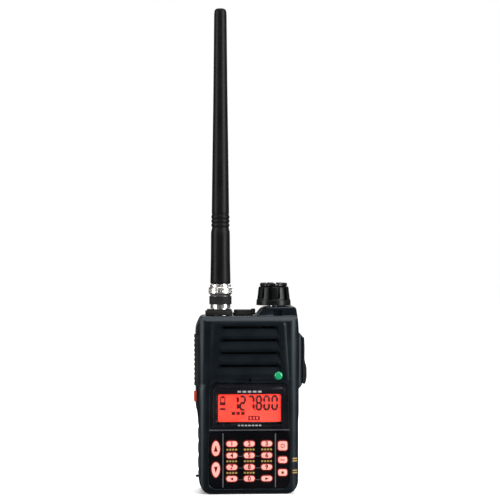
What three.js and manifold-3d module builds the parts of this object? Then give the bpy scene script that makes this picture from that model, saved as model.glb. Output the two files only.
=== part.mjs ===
// A handheld aviation radio, about 62 x 118 mm without its knob and antenna, built as its separate pieces.
// Millimetres, +Z up. The front face looks along -Y, +X is on the right as the keypad is read,
// and the origin is the centre of the bottom face that the radio stands on.

import * as THREE from "three";
import { mergeVertices } from "three/addons/utils/BufferGeometryUtils.js";
import Module from "manifold-3d";

const wasm = await Module();
wasm.setup();

// ---- driving dimensions -------------------------------------------------------------------------------

const GAP = 0.3; // clearance between neighbours
const WALL = 1.8; // moulded wall thickness
const FRONT = -16.5; // plane of the front face
const BACK = 16.5; // back of the battery
const HALF_WIDTH = 31; // of the case below the grip
const GRIP = 32.7; // half width at the grip
const TOP = 111.4; // height of the top face
const TURRET = 117.4; // height of the raised corner that carries the knobs

const SPLIT = 1; // back plane of the front case
const CHASSIS = { front: 1.6, back: 5, shelf: 91.6, rear: 13.8 };
const BATTERY = { front: 5.3, top: 91, wall: 1.5, lid: 1.3 };

const KNOB = { x: 16.4, y: 0, z: 117.8 };
const ANTENNA = { x: -17.2, y: 0.4, z: 111.4 };
const CAP = { left: -9.4, right: 3.4, y: 0, z: 111.7, half: 4.7 }; // cover of the headset jacks

const WINDOW = { halfWidth: 24.5, bottom: 40.8, top: 69.6, lensHalfWidth: 22.2, lensBottom: 42, lensTop: 67.6 };
const KEYPAD = { halfWidth: 25.4, bottom: 3.6, top: 40, front: -16.3, back: -14.9, rib: 16.4 };
const KEY_ROWS = [31.9, 24.6, 17.3, 10.1];
const KEY_COLUMNS = [-10.9, 0, 10.9];
const SIDE_COLUMN = 20.9;
const KEY = { top: -17.2, seat: -14.2, flange: 0.4, lip: 0.45, clearance: 0.25 };

const GRILLE = { bottom: 70.9, top: 108.4, halfBottom: 23.8, halfTop: 21.3, height: 0.5, pitch: 8, slots: 4 };
const LED = { x: 18.4, z: 74.3, radius: 2.7 };
const MICROPHONE = { x: 0.5, z: 71.8 };

const PTT = { bottom: 67.8, top: 99.8, front: -12.2, back: -2.2, out: -34, in: -30.5, ribs: 10 };
const MONITOR = { bottom: 57.6, top: 64.4, front: -9.6, back: -3.4, out: -34.2, in: -30.5 };
const FLANGE = { front: -8.6, back: -2.9, thickness: 0.8, lip: 0.9 }; // rim that keeps a side button in the case
const POD = { bottom: 64.8, top: 101.4, out: 34.1, front: -9.6, back: 0.9 };

const CLIP = { y: 18.6, z: 101, halfWidth: 9.5, tip: 41, coil: 2, wire: 0.42 };

// ---- materials ----------------------------------------------------------------------------------------

const finish = (color, roughness, metalness = 0) => ({ color, roughness, metalness });
const CASE = finish(0x1d2124, 0.6);
const DARK_GLOSS = finish(0x08090a, 0.15);
const KEY_RUBBER = finish(0xf0a0a0, 0.5);
const SOFT_BLACK = finish(0x151719, 0.75);
const DIE_CAST = finish(0x2b2e30, 0.5, 0.6);
const NICKEL = finish(0xcfcac0, 0.25, 1);
const BRASS = finish(0xb08a45, 0.35, 1);
const STEEL = finish(0x9a9ca0, 0.35, 1);
const CIRCUIT_BOARD = finish(0x1c5a34, 0.55);
const ORANGE = finish(0xd2452a, 0.5);
const SCREEN = finish(0xff5a44, 0.4);
const GREEN_LENS = finish(0x12a868, 0.2);
const CELL = finish(0x3b6ea0, 0.5);
const MODULE_BLACK = finish(0x101214, 0.6);

// ---- building blocks ----------------------------------------------------------------------------------

// A closed geometry as a manifold-3d solid.
function solid(geometry) {
  const bare = geometry.index ? geometry.toNonIndexed() : geometry.clone();
  bare.deleteAttribute("normal");
  bare.deleteAttribute("uv");
  const merged = mergeVertices(bare, 1e-4);
  const made = new wasm.Manifold(
    new wasm.Mesh({
      numProp: 3,
      vertProperties: merged.attributes.position.array,
      triVerts: new Uint32Array(merged.index.array),
    }),
  );
  if (made.volume() <= 0) throw new Error("a geometry faces inwards");
  return made;
}

function geometryOf(made) {
  const mesh = made.getMesh();
  return new THREE.BufferGeometry()
    .setAttribute("position", new THREE.BufferAttribute(mesh.vertProperties, 3))
    .setIndex(new THREE.BufferAttribute(mesh.triVerts, 1));
}

const join = (first, ...others) => others.reduce((whole, piece) => whole.add(piece), first);
const cut = (first, ...others) => others.reduce((whole, piece) => whole.subtract(piece), first);
const common = (first, ...others) => others.reduce((whole, piece) => whole.intersect(piece), first);

// Closed outline through corners [x, y, radius]; a corner with a radius is rounded by a curve.
function outline(corners) {
  const shape = new THREE.Shape();
  corners.forEach(([x, y, radius = 0], i) => {
    const corner = new THREE.Vector2(x, y);
    const leg = (other) => {
      const side = new THREE.Vector2(other[0], other[1]).sub(corner);
      return side.setLength(Math.min(radius, side.length() / 2)).add(corner);
    };
    const from = leg(corners[(i + corners.length - 1) % corners.length]);
    const to = leg(corners[(i + 1) % corners.length]);
    if (i === 0) shape.moveTo(from.x, from.y);
    else shape.lineTo(from.x, from.y);
    if (radius) shape.quadraticCurveTo(x, y, to.x, to.y);
  });
  shape.closePath();
  return shape;
}

function rectangle(x0, x1, y0, y1, radius = 0) {
  return outline([
    [x0, y0, radius],
    [x1, y0, radius],
    [x1, y1, radius],
    [x0, y1, radius],
  ]);
}

// Outlines pushed along one axis: an X-Z outline along Y, an X-Y outline along Z and a Y-Z outline along X.
const push = (shape, depth, steps) =>
  new THREE.ExtrudeGeometry(shape, { depth, bevelEnabled: false, curveSegments: steps });
const alongY = (shape, y0, y1, steps = 3) =>
  solid(push(shape, y1 - y0, steps).rotateX(Math.PI / 2).translate(0, y1, 0));
const alongZ = (shape, z0, z1, steps = 3) => solid(push(shape, z1 - z0, steps).translate(0, 0, z0));
const TO_X = new THREE.Matrix4().makeBasis(
  new THREE.Vector3(0, 1, 0),
  new THREE.Vector3(0, 0, 1),
  new THREE.Vector3(1, 0, 0),
);
const alongX = (shape, x0, x1, steps = 3) =>
  solid(push(shape, x1 - x0, steps).applyMatrix4(TO_X).translate(x0, 0, 0));

function block(x0, x1, y0, y1, z0, z1) {
  const box = new THREE.BoxGeometry(x1 - x0, y1 - y0, z1 - z0);
  return solid(box.translate((x0 + x1) / 2, (y0 + y1) / 2, (z0 + z1) / 2));
}

// A round solid about the Z axis, from profile points [radius, z] that start and end on the axis.
const turned = (profile, sides = 20) =>
  solid(new THREE.LatheGeometry(profile.map(([r, z]) => new THREE.Vector2(r, z)), sides).rotateX(Math.PI / 2));

const post = (radius, z0, z1, sides = 20) =>
  turned([[0, z0], [radius, z0], [radius, z1], [0, z1]], sides);

// Round bars along the other two axes.
function bar(axis, radius, from, to, [a, b], sides = 14) {
  const rod = new THREE.CylinderGeometry(radius, radius, to - from, sides).translate(0, (from + to) / 2, 0);
  if (axis === "y") return solid(rod.translate(a, 0, b));
  return solid(rod.rotateZ(-Math.PI / 2).translate(0, a, b));
}

const shifted = (made, x, y, z) => solid(geometryOf(made).translate(x, y, z));

// The same solid repeated about the Z axis, as a list.
const around = (made, count, start = 0) =>
  Array.from({ length: count }, (_, i) =>
    solid(geometryOf(made).rotateZ(start + (i * 2 * Math.PI) / count)),
  );

const radio = new THREE.Group();

// A named piece, in its group's own frame.
function piece(group, name, look, made) {
  const mesh = new THREE.Mesh(geometryOf(made), new THREE.MeshStandardMaterial(look));
  mesh.name = name;
  group.add(mesh);
}

function subAssembly(x, y, z) {
  const group = new THREE.Group();
  group.position.set(x, y, z);
  radio.add(group);
  return group;
}

// ---- outer form ---------------------------------------------------------------------------------------

// The case seen from the front. Insetting it gives the inside of the walls.
function frontView(inset) {
  const left = (x) => -x + inset;
  const right = (x) => x - inset;
  return outline([
    [left(HALF_WIDTH), inset, 8.5],
    [left(HALF_WIDTH), 47.5, 4],
    [left(GRIP), 52, 4],
    [left(GRIP), 104.2, 3],
    [left(29.3), TOP - inset, 2.2],
    [5.6 + inset, TOP - inset, 2],
    [9.4 + inset, TURRET - 0.8 - inset, 2.5],
    [right(29.6), TURRET - inset, 2],
    [right(31.4), 105, 6],
    [right(31.4), 50, 4],
    [right(HALF_WIDTH), 46, 3],
    [right(HALF_WIDTH), inset, 8.5],
  ]);
}

// What every casing is cut from: the front view, the plan section and the side view, each pushed through
// the other two.
function outerForm(inset = 0) {
  const flank = GRIP + 0.1 - inset;
  const plan = outline([
    [-flank, FRONT + inset, 8],
    [flank, FRONT + inset, 8],
    [flank, BACK - inset, 5],
    [-flank, BACK - inset, 5],
  ]);
  const side = outline([
    [FRONT + inset, inset, 4],
    [BACK - inset, inset, 3],
    [BACK - inset, BATTERY.top + 0.3],
    [CHASSIS.rear - inset, BATTERY.top + 2.4, 1],
    [CHASSIS.rear - inset, 110 - inset, 5],
    [12.6 - inset, TURRET - inset, 2],
    [-12.4 + inset, TURRET - inset, 1.5],
    [-13.2 + inset, TOP - inset, 1],
    [FRONT + inset, 108.4 - inset, 1],
  ]);
  return common(
    alongY(frontView(inset), FRONT - 1, BACK + 1, 4),
    alongZ(plan, -1, TURRET + 1, 4),
    alongX(side, -GRIP - 1, GRIP + 1, 3),
  );
}

const OUTER = outerForm();
const INNER = outerForm(WALL);
const slab = (y0, y1, z0 = -5, z1 = TURRET + 5) => block(-45, 45, y0, y1, z0, z1);

// Round boss under the knobs, rising out of the right shoulder.
const turretBoss = (y0, y1) => common(shifted(post(11, 105, TURRET - 0.8, 24), KNOB.x, KNOB.y, 0), slab(y0, y1));

const JACKS = [
  { x: -6.1, radius: 2.9, bore: 1.75 },
  { x: 0.4, radius: 2.4, bore: 1.25 },
];
const topHoles = [
  shifted(post(5.2, 100, 125), ANTENNA.x, ANTENNA.y, 0),
  shifted(post(4.6, 100, 125), KNOB.x, KNOB.y, 0),
  ...JACKS.map(({ x, radius }) => shifted(post(radius + GAP, 100, 125, 16), x, CAP.y, 0)),
];

const SCREW_PLACES = [
  [-24, 8],
  [24, 8],
  [-24, 86],
  [24, 86],
];

// ---- front case ---------------------------------------------------------------------------------------

// Raised trapezoid over the loudspeaker.
function grillePanel() {
  const shape = outline([
    [-GRILLE.halfBottom, GRILLE.bottom, 1],
    [GRILLE.halfBottom, GRILLE.bottom, 1],
    [GRILLE.halfTop, GRILLE.top, 1.5],
    [-GRILLE.halfTop, GRILLE.top, 1.5],
  ]);
  return alongY(shape, FRONT - GRILLE.height, FRONT + WALL, 2);
}

// A louvre is deepest under its top edge and ramps out to the surface below.
function louvre(row) {
  const top = 105.3 - row * GRILLE.pitch;
  const half = 18.2 + row * 0.5;
  const wedge = outline([
    [FRONT - 1, top],
    [FRONT + 1.1, top],
    [FRONT + 1.1, top - 1],
    [FRONT - GRILLE.height - 0.2, top - 6.2],
    [FRONT - 1, top - 6.2],
  ]);
  const slot = block(-half + 2, half - 2, FRONT, FRONT + WALL + 1, top - 1.1, top - 0.1);
  return join(alongX(wedge, -half, half), slot);
}

const ledHole = bar("y", LED.radius + GAP, FRONT - 2, FRONT + 4, [LED.x, LED.z]);

// The pod on the right flank that holds the power socket, with a ramped front.
function podForm(inset = 0) {
  const frontView = outline([
    [24, POD.bottom + 1 + inset, 0],
    [POD.out - 2.5 - inset, POD.bottom + inset, 2],
    [POD.out - inset, POD.bottom + 6, 3],
    [POD.out - inset, POD.top - 6, 4],
    [POD.out - 2.8 - inset, POD.top - inset, 2],
    [24, POD.top - 1 - inset, 0],
  ]);
  const plan = outline([
    [24, FRONT + 4 + inset],
    [POD.out - inset, POD.front + inset, 2],
    [POD.out - inset, POD.back + inset],
    [24, POD.back + inset],
  ]);
  return common(alongY(frontView, FRONT, POD.back + 0.1), alongZ(plan, 60, 105));
}

// Threaded lugs on the side walls, behind the boards, that take the four case screws.
const screwLugs = (grow = 0) =>
  SCREW_PLACES.map(([x, z]) => {
    const [x0, x1] = x < 0 ? [-31.6, x + 2.8 + grow] : [x - 2.8 - grow, 31.6];
    return common(OUTER, block(x0, x1, -2.6 - grow, SPLIT, z - 2.8 - grow, z + 2.8 + grow));
  });

function frontCase() {
  const shell = join(common(OUTER, slab(FRONT - 1, SPLIT)), turretBoss(-20, SPLIT));
  const inside = common(INNER, slab(FRONT, SPLIT + 1));
  const walls = join(cut(shell, inside), cut(join(grillePanel(), podForm()), inside), ...screwLugs());
  const openings = [
    block(-WINDOW.halfWidth, WINDOW.halfWidth, FRONT - 2, FRONT + 4, WINDOW.bottom, WINDOW.top),
    block(-KEYPAD.halfWidth, KEYPAD.halfWidth, FRONT - 2, FRONT + 4, KEYPAD.bottom, KEYPAD.top),
    ledHole,
    bar("y", 0.8, FRONT - 2, FRONT + 4, [MICROPHONE.x, MICROPHONE.z], 10),
    block(-40, -28.9, PTT.front - GAP, PTT.back + GAP, PTT.bottom - GAP, PTT.top + GAP),
    block(-40, -28.9, MONITOR.front - GAP, MONITOR.back + GAP, MONITOR.bottom - GAP, MONITOR.top + GAP),
    block(24, 33 - WALL, -7.4, -2.7, 69, 97),
    bar("x", 1.9, 28, 40, [-4.6, 88]),
    ...SCREW_PLACES.map(([x, z]) => bar("y", 1.4, -5, 5, [x, z], 10)),
    ...topHoles,
  ];
  const louvres = Array.from({ length: GRILLE.slots }, (_, row) => louvre(row));
  return cut(walls, ...openings, ...louvres);
}

piece(radio, "front_case", CASE, frontCase());

// ---- chassis, seal and fasteners ----------------------------------------------------------------------

function rearChassis() {
  const lower = common(OUTER, slab(CHASSIS.front, CHASSIS.back));
  const upper = common(OUTER, slab(CHASSIS.front, 20, CHASSIS.shelf));
  const boss = turretBoss(CHASSIS.front, 20);
  const hollowFront = common(INNER, slab(CHASSIS.front - 1, CHASSIS.back - WALL));
  const hollowTop = common(INNER, slab(CHASSIS.front - 1, 20, CHASSIS.shelf + WALL));
  const screwHoles = SCREW_PLACES.map(([x, z]) => bar("y", 1.4, -5, 20, [x, z], 10));
  const terminalWindow = block(-9.3, 9.3, 0, 8, 77.7, 84.3);
  const hull = cut(join(lower, upper, boss), hollowFront, hollowTop);
  return cut(hull, ...screwHoles, ...topHoles, terminalWindow, jackRelief());
}

// Room behind the pod for the power socket.
const jackRelief = () => block(27, 29, 0, 2, 80, 95);

piece(radio, "rear_chassis", DIE_CAST, rearChassis());

// The gasket runs round the joint between the front case and the chassis.
const SEAL = { y0: SPLIT + 0.05, y1: CHASSIS.front - 0.05, outside: 0.5, inside: 1.7, top: 108.5 };
const sealRing = common(outerForm(SEAL.outside), slab(SEAL.y0, SEAL.y1, -5, SEAL.top));
piece(radio, "case_seal", SOFT_BLACK, cut(sealRing, outerForm(SEAL.inside)));

SCREW_PLACES.forEach(([x, z], i) => {
  const group = subAssembly(x, 0, z);
  const head = bar("y", 2.2, CHASSIS.back + 0.08, CHASSIS.back + 0.25, [0, 0], 12);
  const shank = bar("y", 1.1, -2.2, CHASSIS.back + 0.2, [0, 0], 10);
  piece(group, `case_screw_${i + 1}`, STEEL, join(head, shank));
});

// ---- window, screen and boards ------------------------------------------------------------------------

function displayWindow() {
  const plate = block(
    -WINDOW.halfWidth + GAP, WINDOW.halfWidth - GAP, -15.9, -14.7, WINDOW.bottom + GAP, WINDOW.top - GAP,
  );
  const lens = alongY(
    rectangle(-WINDOW.lensHalfWidth, WINDOW.lensHalfWidth, WINDOW.lensBottom, WINDOW.lensTop, 1.5), -16.4, -15.8, 2,
  );
  return join(plate, lens);
}

piece(radio, "display_window", DARK_GLOSS, displayWindow());
piece(radio, "lcd_panel", SCREEN, block(-22.5, 22.5, -14.4, -12.3, 42.2, 65.6));
piece(radio, "control_board", CIRCUIT_BOARD, block(-26.4, 26.4, -11.6, -10.4, 5, 68.5));

function mainBoard() {
  const board = alongY(rectangle(-27.4, 27.4, 5, 96.5, 3), -2.6, -1.4);
  const chips = [
    block(-20, -9, -3.5, -2.5, 20, 31),
    block(-2, 6, -3.3, -2.5, 44, 52),
    block(12, 22, -5.2, -2.5, 12, 20),
    block(-22, -12, -4.4, -2.5, 50, 60),
  ];
  const can = block(6, 20, -4.6, -2.5, 56, 80);
  return join(cut(board, ...screwLugs(GAP)), can, ...chips);
}

piece(radio, "main_board", CIRCUIT_BOARD, mainBoard());

function speaker() {
  const frame = turned([[0, 0.8], [9, 0.8], [16.6, 0], [17, 0], [17, 1.2], [12, 3.4], [8, 3.4], [8, 5.4], [0, 5.4]], 28);
  return solid(geometryOf(frame).rotateX(-Math.PI / 2));
}

piece(subAssembly(0, -13.9, 89.9), "speaker", MODULE_BLACK, speaker());
piece(radio, "microphone", MODULE_BLACK, bar("y", 2, -14.4, -12.9, [MICROPHONE.x, MICROPHONE.z - 1.2], 12));

function ledLens() {
  const dome = turned([[0, 0], [LED.radius, 0], [LED.radius, 2.1], [LED.radius * 0.72, 2.7], [0, 3]], 18);
  return solid(geometryOf(dome).rotateX(Math.PI / 2));
}

piece(subAssembly(LED.x, FRONT + 2, LED.z), "led_lens", GREEN_LENS, ledLens());

function sideSwitches() {
  const board = block(-27.4, -26.6, -10, -3, 56, 98);
  const pttDome = block(-28.4, -27.3, -8.5, -5.5, 82, 86);
  const monitorDome = block(-28.4, -27.3, -8, -5, 59.6, 62.6);
  return join(board, pttDome, monitorDome);
}

piece(radio, "side_switches", CIRCUIT_BOARD, sideSwitches());

function powerJack() {
  const housing = block(24.4, 30.6, -7.1, -2.9, 84, 92);
  return cut(housing, bar("x", 1.7, 25.4, 35, [-4.6, 88]));
}

piece(radio, "power_jack", MODULE_BLACK, powerJack());

function terminalBlock() {
  const housing = block(-9, 9, -1.1, 4.7, 78, 84);
  const pads = [-6, 0, 6].map((x) => block(x - 1.2, x + 1.2, 4.6, 5.1, 79.5, 82.5));
  return join(housing, ...pads);
}

piece(radio, "terminal_block", BRASS, terminalBlock());

// ---- keypad -------------------------------------------------------------------------------------------

const pill = (grow = 0) => rectangle(-3.65 - grow, 3.65 + grow, -1.95 - grow, 1.95 + grow, 1.95 + grow);
const square = (grow = 0) => rectangle(-3.15 - grow, 3.15 + grow, -3.15 - grow, 3.15 + grow, 1.6);
const small = (grow = 0) => rectangle(-3.05 - grow, 3.05 + grow, -2.25 - grow, 2.25 + grow, 1.5);

// An egg-shaped key; point is 1 where the narrow end is at the top and -1 where it is at the bottom.
function egg(point, grow = 0) {
  const sides = 18;
  const shape = new THREE.Shape();
  for (let i = 0; i < sides; i++) {
    const angle = (i / sides) * 2 * Math.PI;
    const x = (2.8 + grow) * Math.cos(angle) * (1 - 0.12 * point * Math.sin(angle));
    const z = (4.95 + grow) * Math.sin(angle);
    if (i === 0) shape.moveTo(x, z);
    else shape.lineTo(x, z);
  }
  shape.closePath();
  return shape;
}

const NUMBER_KEYS = ["1", "2", "3", "4", "5", "6", "7", "8", "9", "left", "0", "right"];
const KEYS = [
  ...NUMBER_KEYS.map((label, i) => ({
    name: `key_${label}`,
    x: KEY_COLUMNS[i % 3],
    z: KEY_ROWS[Math.floor(i / 3)],
    shape: pill,
  })),
  { name: "key_up", x: -SIDE_COLUMN, z: 29.1, shape: (grow) => egg(1, grow) },
  { name: "key_down", x: -SIDE_COLUMN, z: 15.8, shape: (grow) => egg(-1, grow) },
  { name: "key_function", x: SIDE_COLUMN, z: 30.5, shape: square },
  { name: "key_memory", x: SIDE_COLUMN, z: 21.7, shape: small },
  { name: "key_enter", x: SIDE_COLUMN, z: 13.8, shape: small },
];

function keypadBezel() {
  const plate = block(
    -KEYPAD.halfWidth + GAP, KEYPAD.halfWidth - GAP, KEYPAD.front, KEYPAD.back, KEYPAD.bottom + GAP, KEYPAD.top - GAP,
  );
  const ribs = [-KEYPAD.rib, KEYPAD.rib].map((x) => block(x - 0.4, x + 0.4, KEYPAD.front - 0.4, KEYPAD.back, 4.6, 35.6));
  const holes = KEYS.map(({ x, z, shape }) =>
    shifted(alongY(shape(KEY.clearance), KEYPAD.front - 1, KEYPAD.back + 1, 2), x, 0, z),
  );
  return cut(join(plate, ...ribs), ...holes);
}

piece(radio, "keypad_bezel", DARK_GLOSS, keypadBezel());
piece(radio, "keypad_membrane", SOFT_BLACK, block(-25, 25, -13.1, -12, 4.5, 39));

for (const { name, x, z, shape } of KEYS) {
  const cap = alongY(shape(0), KEY.top, KEY.seat - KEY.flange, 2);
  const lip = alongY(shape(KEY.lip), KEY.seat - KEY.flange, KEY.seat, 2);
  piece(subAssembly(x, 0, z), name, KEY_RUBBER, join(cap, lip));
}

// ---- side buttons and jack covers -------------------------------------------------------------------

const buttonFlange = ({ in: seat, bottom, top }) => {
  const { thickness, lip, front, back } = FLANGE;
  return block(seat - 0.1, seat + thickness - 0.1, front, back, bottom - lip, top + lip);
};

function pttButton() {
  const plan = outline([
    [PTT.out, PTT.back],
    [PTT.out, -8.6, 2.5],
    [-31.4, PTT.front, 0.8],
    [PTT.in, PTT.front],
    [PTT.in, PTT.back],
  ]);
  const cap = alongZ(plan, PTT.bottom, PTT.top);
  const pitch = (PTT.top - PTT.bottom - 2) / PTT.ribs;
  const grooves = Array.from({ length: PTT.ribs }, (_, i) => {
    const z = PTT.bottom + 1 + (i + 0.5) * pitch;
    const notch = outline([[PTT.out - 1, z - 1.2], [PTT.out - 1, z + 1.2], [PTT.out + 0.8, z]]);
    return alongY(notch, -14, 0);
  });
  return join(cut(cap, ...grooves), buttonFlange(PTT));
}

piece(radio, "ptt_button", SOFT_BLACK, pttButton());

function monitorButton() {
  const face = rectangle(MONITOR.front, MONITOR.back, MONITOR.bottom, MONITOR.top, 1.5);
  const cap = alongX(face, MONITOR.out, MONITOR.in);
  return join(cap, buttonFlange(MONITOR));
}

piece(radio, "monitor_button", ORANGE, monitorButton());

// Rubber door over the power socket. Its lower half stands further out, for a finger nail.
const DOOR = { y: POD.back - 0.7, x: POD.out + GAP };
function powerDoor() {
  const face = (z0, z1) => rectangle(-7.6, 0, z0, z1, 1.6);
  const upper = alongX(face(-13.6, 15), 0, 1.6);
  const lower = alongX(face(-15, 0), 0, 2.5);
  return join(upper, lower);
}

piece(subAssembly(DOOR.x, DOOR.y, 83), "power_door", SOFT_BLACK, powerDoor());

// Rubber cover of the two headset jacks: a rounded bar with a pull tab at one end, short pegs below and a
// tether along its back edge, which it bends about.
function jackCover() {
  const { left, right, half } = CAP;
  const foot = alongZ(rectangle(left, right, -half, half, 3), 0, 1.6, 4);
  const lid = alongZ(rectangle(left + 0.5, right - 0.5, 0.5 - half, half - 0.5, 2.8), 1.5, 3.3, 4);
  const tab = shifted(post(1.5, 0.6, 4, 10), right, -2.2, 0);
  const pegs = JACKS.map(({ x, bore }) => shifted(post(bore - 0.5, -1.2, 0.1, 10), x, 0, 0));
  const tether = block(-6, 0, half - 0.4, half + 1.6, 0, 1);
  return join(foot, lid, tab, tether, ...pegs);
}

function headsetJacks() {
  const housing = block(-9.4, 3.2, -4.2, 4.2, -14, -2.6);
  const bushes = JACKS.map(({ x, radius }) => shifted(post(radius, -3, -0.5, 16), x, 0, 0));
  const bores = JACKS.map(({ x, bore }) => shifted(post(bore, -12, 1, 12), x, 0, 0));
  return cut(join(housing, ...bushes), ...bores);
}

const headset = subAssembly(0, CAP.y, CAP.z);
piece(headset, "jack_cover", SOFT_BLACK, jackCover());
piece(headset, "headset_jacks", MODULE_BLACK, headsetJacks());

// ---- knobs --------------------------------------------------------------------------------------------

const knobs = subAssembly(KNOB.x, KNOB.y, KNOB.z);

// Outer ring knob: a fluted cone on a plain skirt.
function dialKnob() {
  const cone = turned([[0, 0], [10.9, 0], [10.7, 3.4], [9.5, 11], [9, 11.8], [0, 11.8]], 30);
  const flute = block(8.3, 14, -0.9, 0.9, 4.4, 13);
  const bore = post(3.4, -1, 5, 16);
  const well = post(6.9, 4.9, 13, 20);
  return cut(cone, bore, well, ...around(flute, 12, Math.PI / 12));
}

// Inner knob: a crown with ribs that stand above its face.
function volumeKnob() {
  const crown = turned([[0, 5.2], [6.5, 5.2], [6.5, 11.9], [8.7, 12.1], [8.4, 14.1], [0, 14.1]], 24);
  const notch = block(7, 12, -0.8, 0.8, 12.4, 17);
  const dish = post(6.9, 12.9, 17, 20);
  const bore = post(1.75, 5, 11, 12);
  return cut(crown, dish, bore, ...around(notch, 9));
}

piece(knobs, "dial_knob", SOFT_BLACK, dialKnob());
piece(knobs, "volume_knob", SOFT_BLACK, volumeKnob());
piece(knobs, "dial_shaft", STEEL, cut(post(3.1, -5.2, 4.6, 16), post(1.8, -6, 6, 12)));
piece(knobs, "volume_shaft", STEEL, post(1.5, -5.2, 10.6, 12));

function controlEncoder() {
  const can = block(-6.6, 6.6, -6.4, 6.2, -18, -8.6);
  const bush = cut(post(4.2, -8.7, -0.6, 18), post(3.4, -6, 0, 14));
  return join(can, bush);
}

piece(knobs, "control_encoder", STEEL, controlEncoder());

// ---- antenna ------------------------------------------------------------------------------------------

const antenna = subAssembly(ANTENNA.x, ANTENNA.y, ANTENNA.z);

// Bayonet socket: flanged barrel, two lugs and a bored insulator.
function antennaJack() {
  const barrel = turned([[0, -6], [7, -6], [7, -2.4], [4.8, -2.4], [4.8, 12.4], [0, 12.4]], 20);
  const ring = cut(post(4.1, 6.4, 13, 18), post(2.3, 6, 13, 14));
  const lugs = [-1, 1].map((way) => bar("x", 0.9, way > 0 ? 4.4 : -5.5, way > 0 ? 5.5 : -4.4, [0, 10.4], 10));
  return cut(join(barrel, ...lugs), ring, post(0.9, 5, 13, 10));
}

piece(antenna, "antenna_jack", NICKEL, antennaJack());

// Square-shouldered rubber plinth that the collar screws down on. It reaches further out on the left.
function antennaSeal() {
  const plinth = alongZ(rectangle(-9.5, 7.5, -7.9, 7.9, 4.5), 0.3, 3, 4);
  const crown = alongZ(rectangle(-8.5, 7.1, -7.3, 7.3, 5), 2.9, 3.9, 4);
  return cut(join(plinth, crown), post(5.1, -1, 5, 20));
}

piece(antenna, "antenna_seal", SOFT_BLACK, antennaSeal());

// Fluted coupling ring with a bright knurled band near the top and a dark band round its middle.
function antennaCollar() {
  const sleeve = turned(
    [[0, 4.4], [6.3, 4.4], [6.3, 6.8], [7.05, 7], [7.05, 12], [6.3, 12.2], [6.4, 13.3], [7.5, 14.1], [7.5, 17.3], [6.6, 18], [6.6, 19.4], [0, 19.4]],
    24,
  );
  const bore = turned([[0, 3], [5.75, 3], [5.75, 16], [4.9, 16.4], [4.9, 21], [0, 21]], 20);
  const lowFlutes = around(block(6.05, 9, -0.7, 0.7, 3, 6.6), 8);
  const highFlutes = around(block(6.3, 9, -0.7, 0.7, 18, 20.5), 8);
  return cut(sleeve, bore, ...lowFlutes, ...highFlutes);
}

piece(antenna, "antenna_collar", NICKEL, antennaCollar());

// Inner half of the plug: contact sleeve, centre pin and the neck that the whip is moulded on.
function antennaPlug() {
  const body = turned([[0, 12.8], [5.4, 12.8], [5.4, 15.6], [4.5, 16], [4.5, 23], [3, 23.4], [3, 26], [0, 26]], 20);
  const sleeve = cut(post(3.8, 7.2, 13, 18), post(2.6, 6.4, 12.9, 14));
  return join(body, sleeve, post(0.6, 7.4, 13, 10));
}

piece(antenna, "antenna_plug", NICKEL, antennaPlug());

// Rubber whip: a straight boot, three flex rings and a long taper.
const WHIP = { bottom: 19.8, rings: 55.6, tip: 193.6 };
function antennaWhip() {
  const ringProfile = [0, 1, 2].flatMap((i) => {
    const z = WHIP.rings + i * 2.6;
    return [[5.35, z], [5.75, z + 0.8], [5.75, z + 1.6]];
  });
  const profile = [
    [0, WHIP.bottom], [6.1, WHIP.bottom], [6.4, WHIP.bottom + 0.8], [6.1, 35], [5.9, 53], [5.5, 54.8],
    ...ringProfile,
    [5.4, WHIP.rings + 8], [5.5, WHIP.rings + 9], [4.9, 110], [4.35, 150], [3.95, WHIP.tip - 3], [3.4, WHIP.tip - 0.9], [2.2, WHIP.tip], [0, WHIP.tip],
  ];
  const socket = turned([[0, 18], [4.8, 18], [4.8, 23.3], [3.3, 23.7], [3.3, 26.3], [1.9, 27], [1.9, 185], [0, 185]], 14);
  return cut(turned(profile, 18), socket);
}

piece(antenna, "antenna_whip", SOFT_BLACK, antennaWhip());
piece(antenna, "antenna_core", STEEL, post(1.5, 26.4, 184, 10));

// ---- battery ------------------------------------------------------------------------------------------

const NOTCHES = { count: 5, first: 12.6, pitch: 9.2, radius: 2.2, depth: 1 };
const LATCH = { y: 12, z: 8.4, recess: 3, outside: 0.5, inside: 2.2, arm: 1.6, top: 10.4 };

// The latch swings round the bottom edge of the pack, in a step that is cut away under it.
function latchRoom() {
  const step = block(-40, 40, LATCH.y - 2.8, BACK + 1, -1, LATCH.top);
  const ramp = outline([[LATCH.y, -1], [BACK + 1, -1], [BACK + 1, 4.9], [LATCH.y, 2.5]]);
  const tongueRoom = block(-12.5, 12.5, 0, LATCH.y - 2, -1, 2.6);
  return join(cut(step, alongY(frontView(LATCH.recess), 0, BACK + 2)), alongX(ramp, -35, 35), tongueRoom);
}

function batteryCase() {
  const pack = common(OUTER, slab(BATTERY.front + BATTERY.lid + GAP, BACK + 1, -5, BATTERY.top));
  const hollow = block(-27.3, 27.3, 0, BACK - BATTERY.wall, 7.8, BATTERY.top - 2);
  const notches = [-1, 1].flatMap((way) =>
    Array.from({ length: NOTCHES.count }, (_, i) => {
      const x = way * (HALF_WIDTH + NOTCHES.radius - NOTCHES.depth);
      return bar("y", NOTCHES.radius, 0, 20, [x, NOTCHES.first + i * NOTCHES.pitch], 10);
    }),
  );
  const labelRecess = block(-19, 19, BACK - 0.4, BACK + 1, 14, 38);
  return cut(pack, hollow, latchRoom(), labelRecess, ...notches);
}

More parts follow.
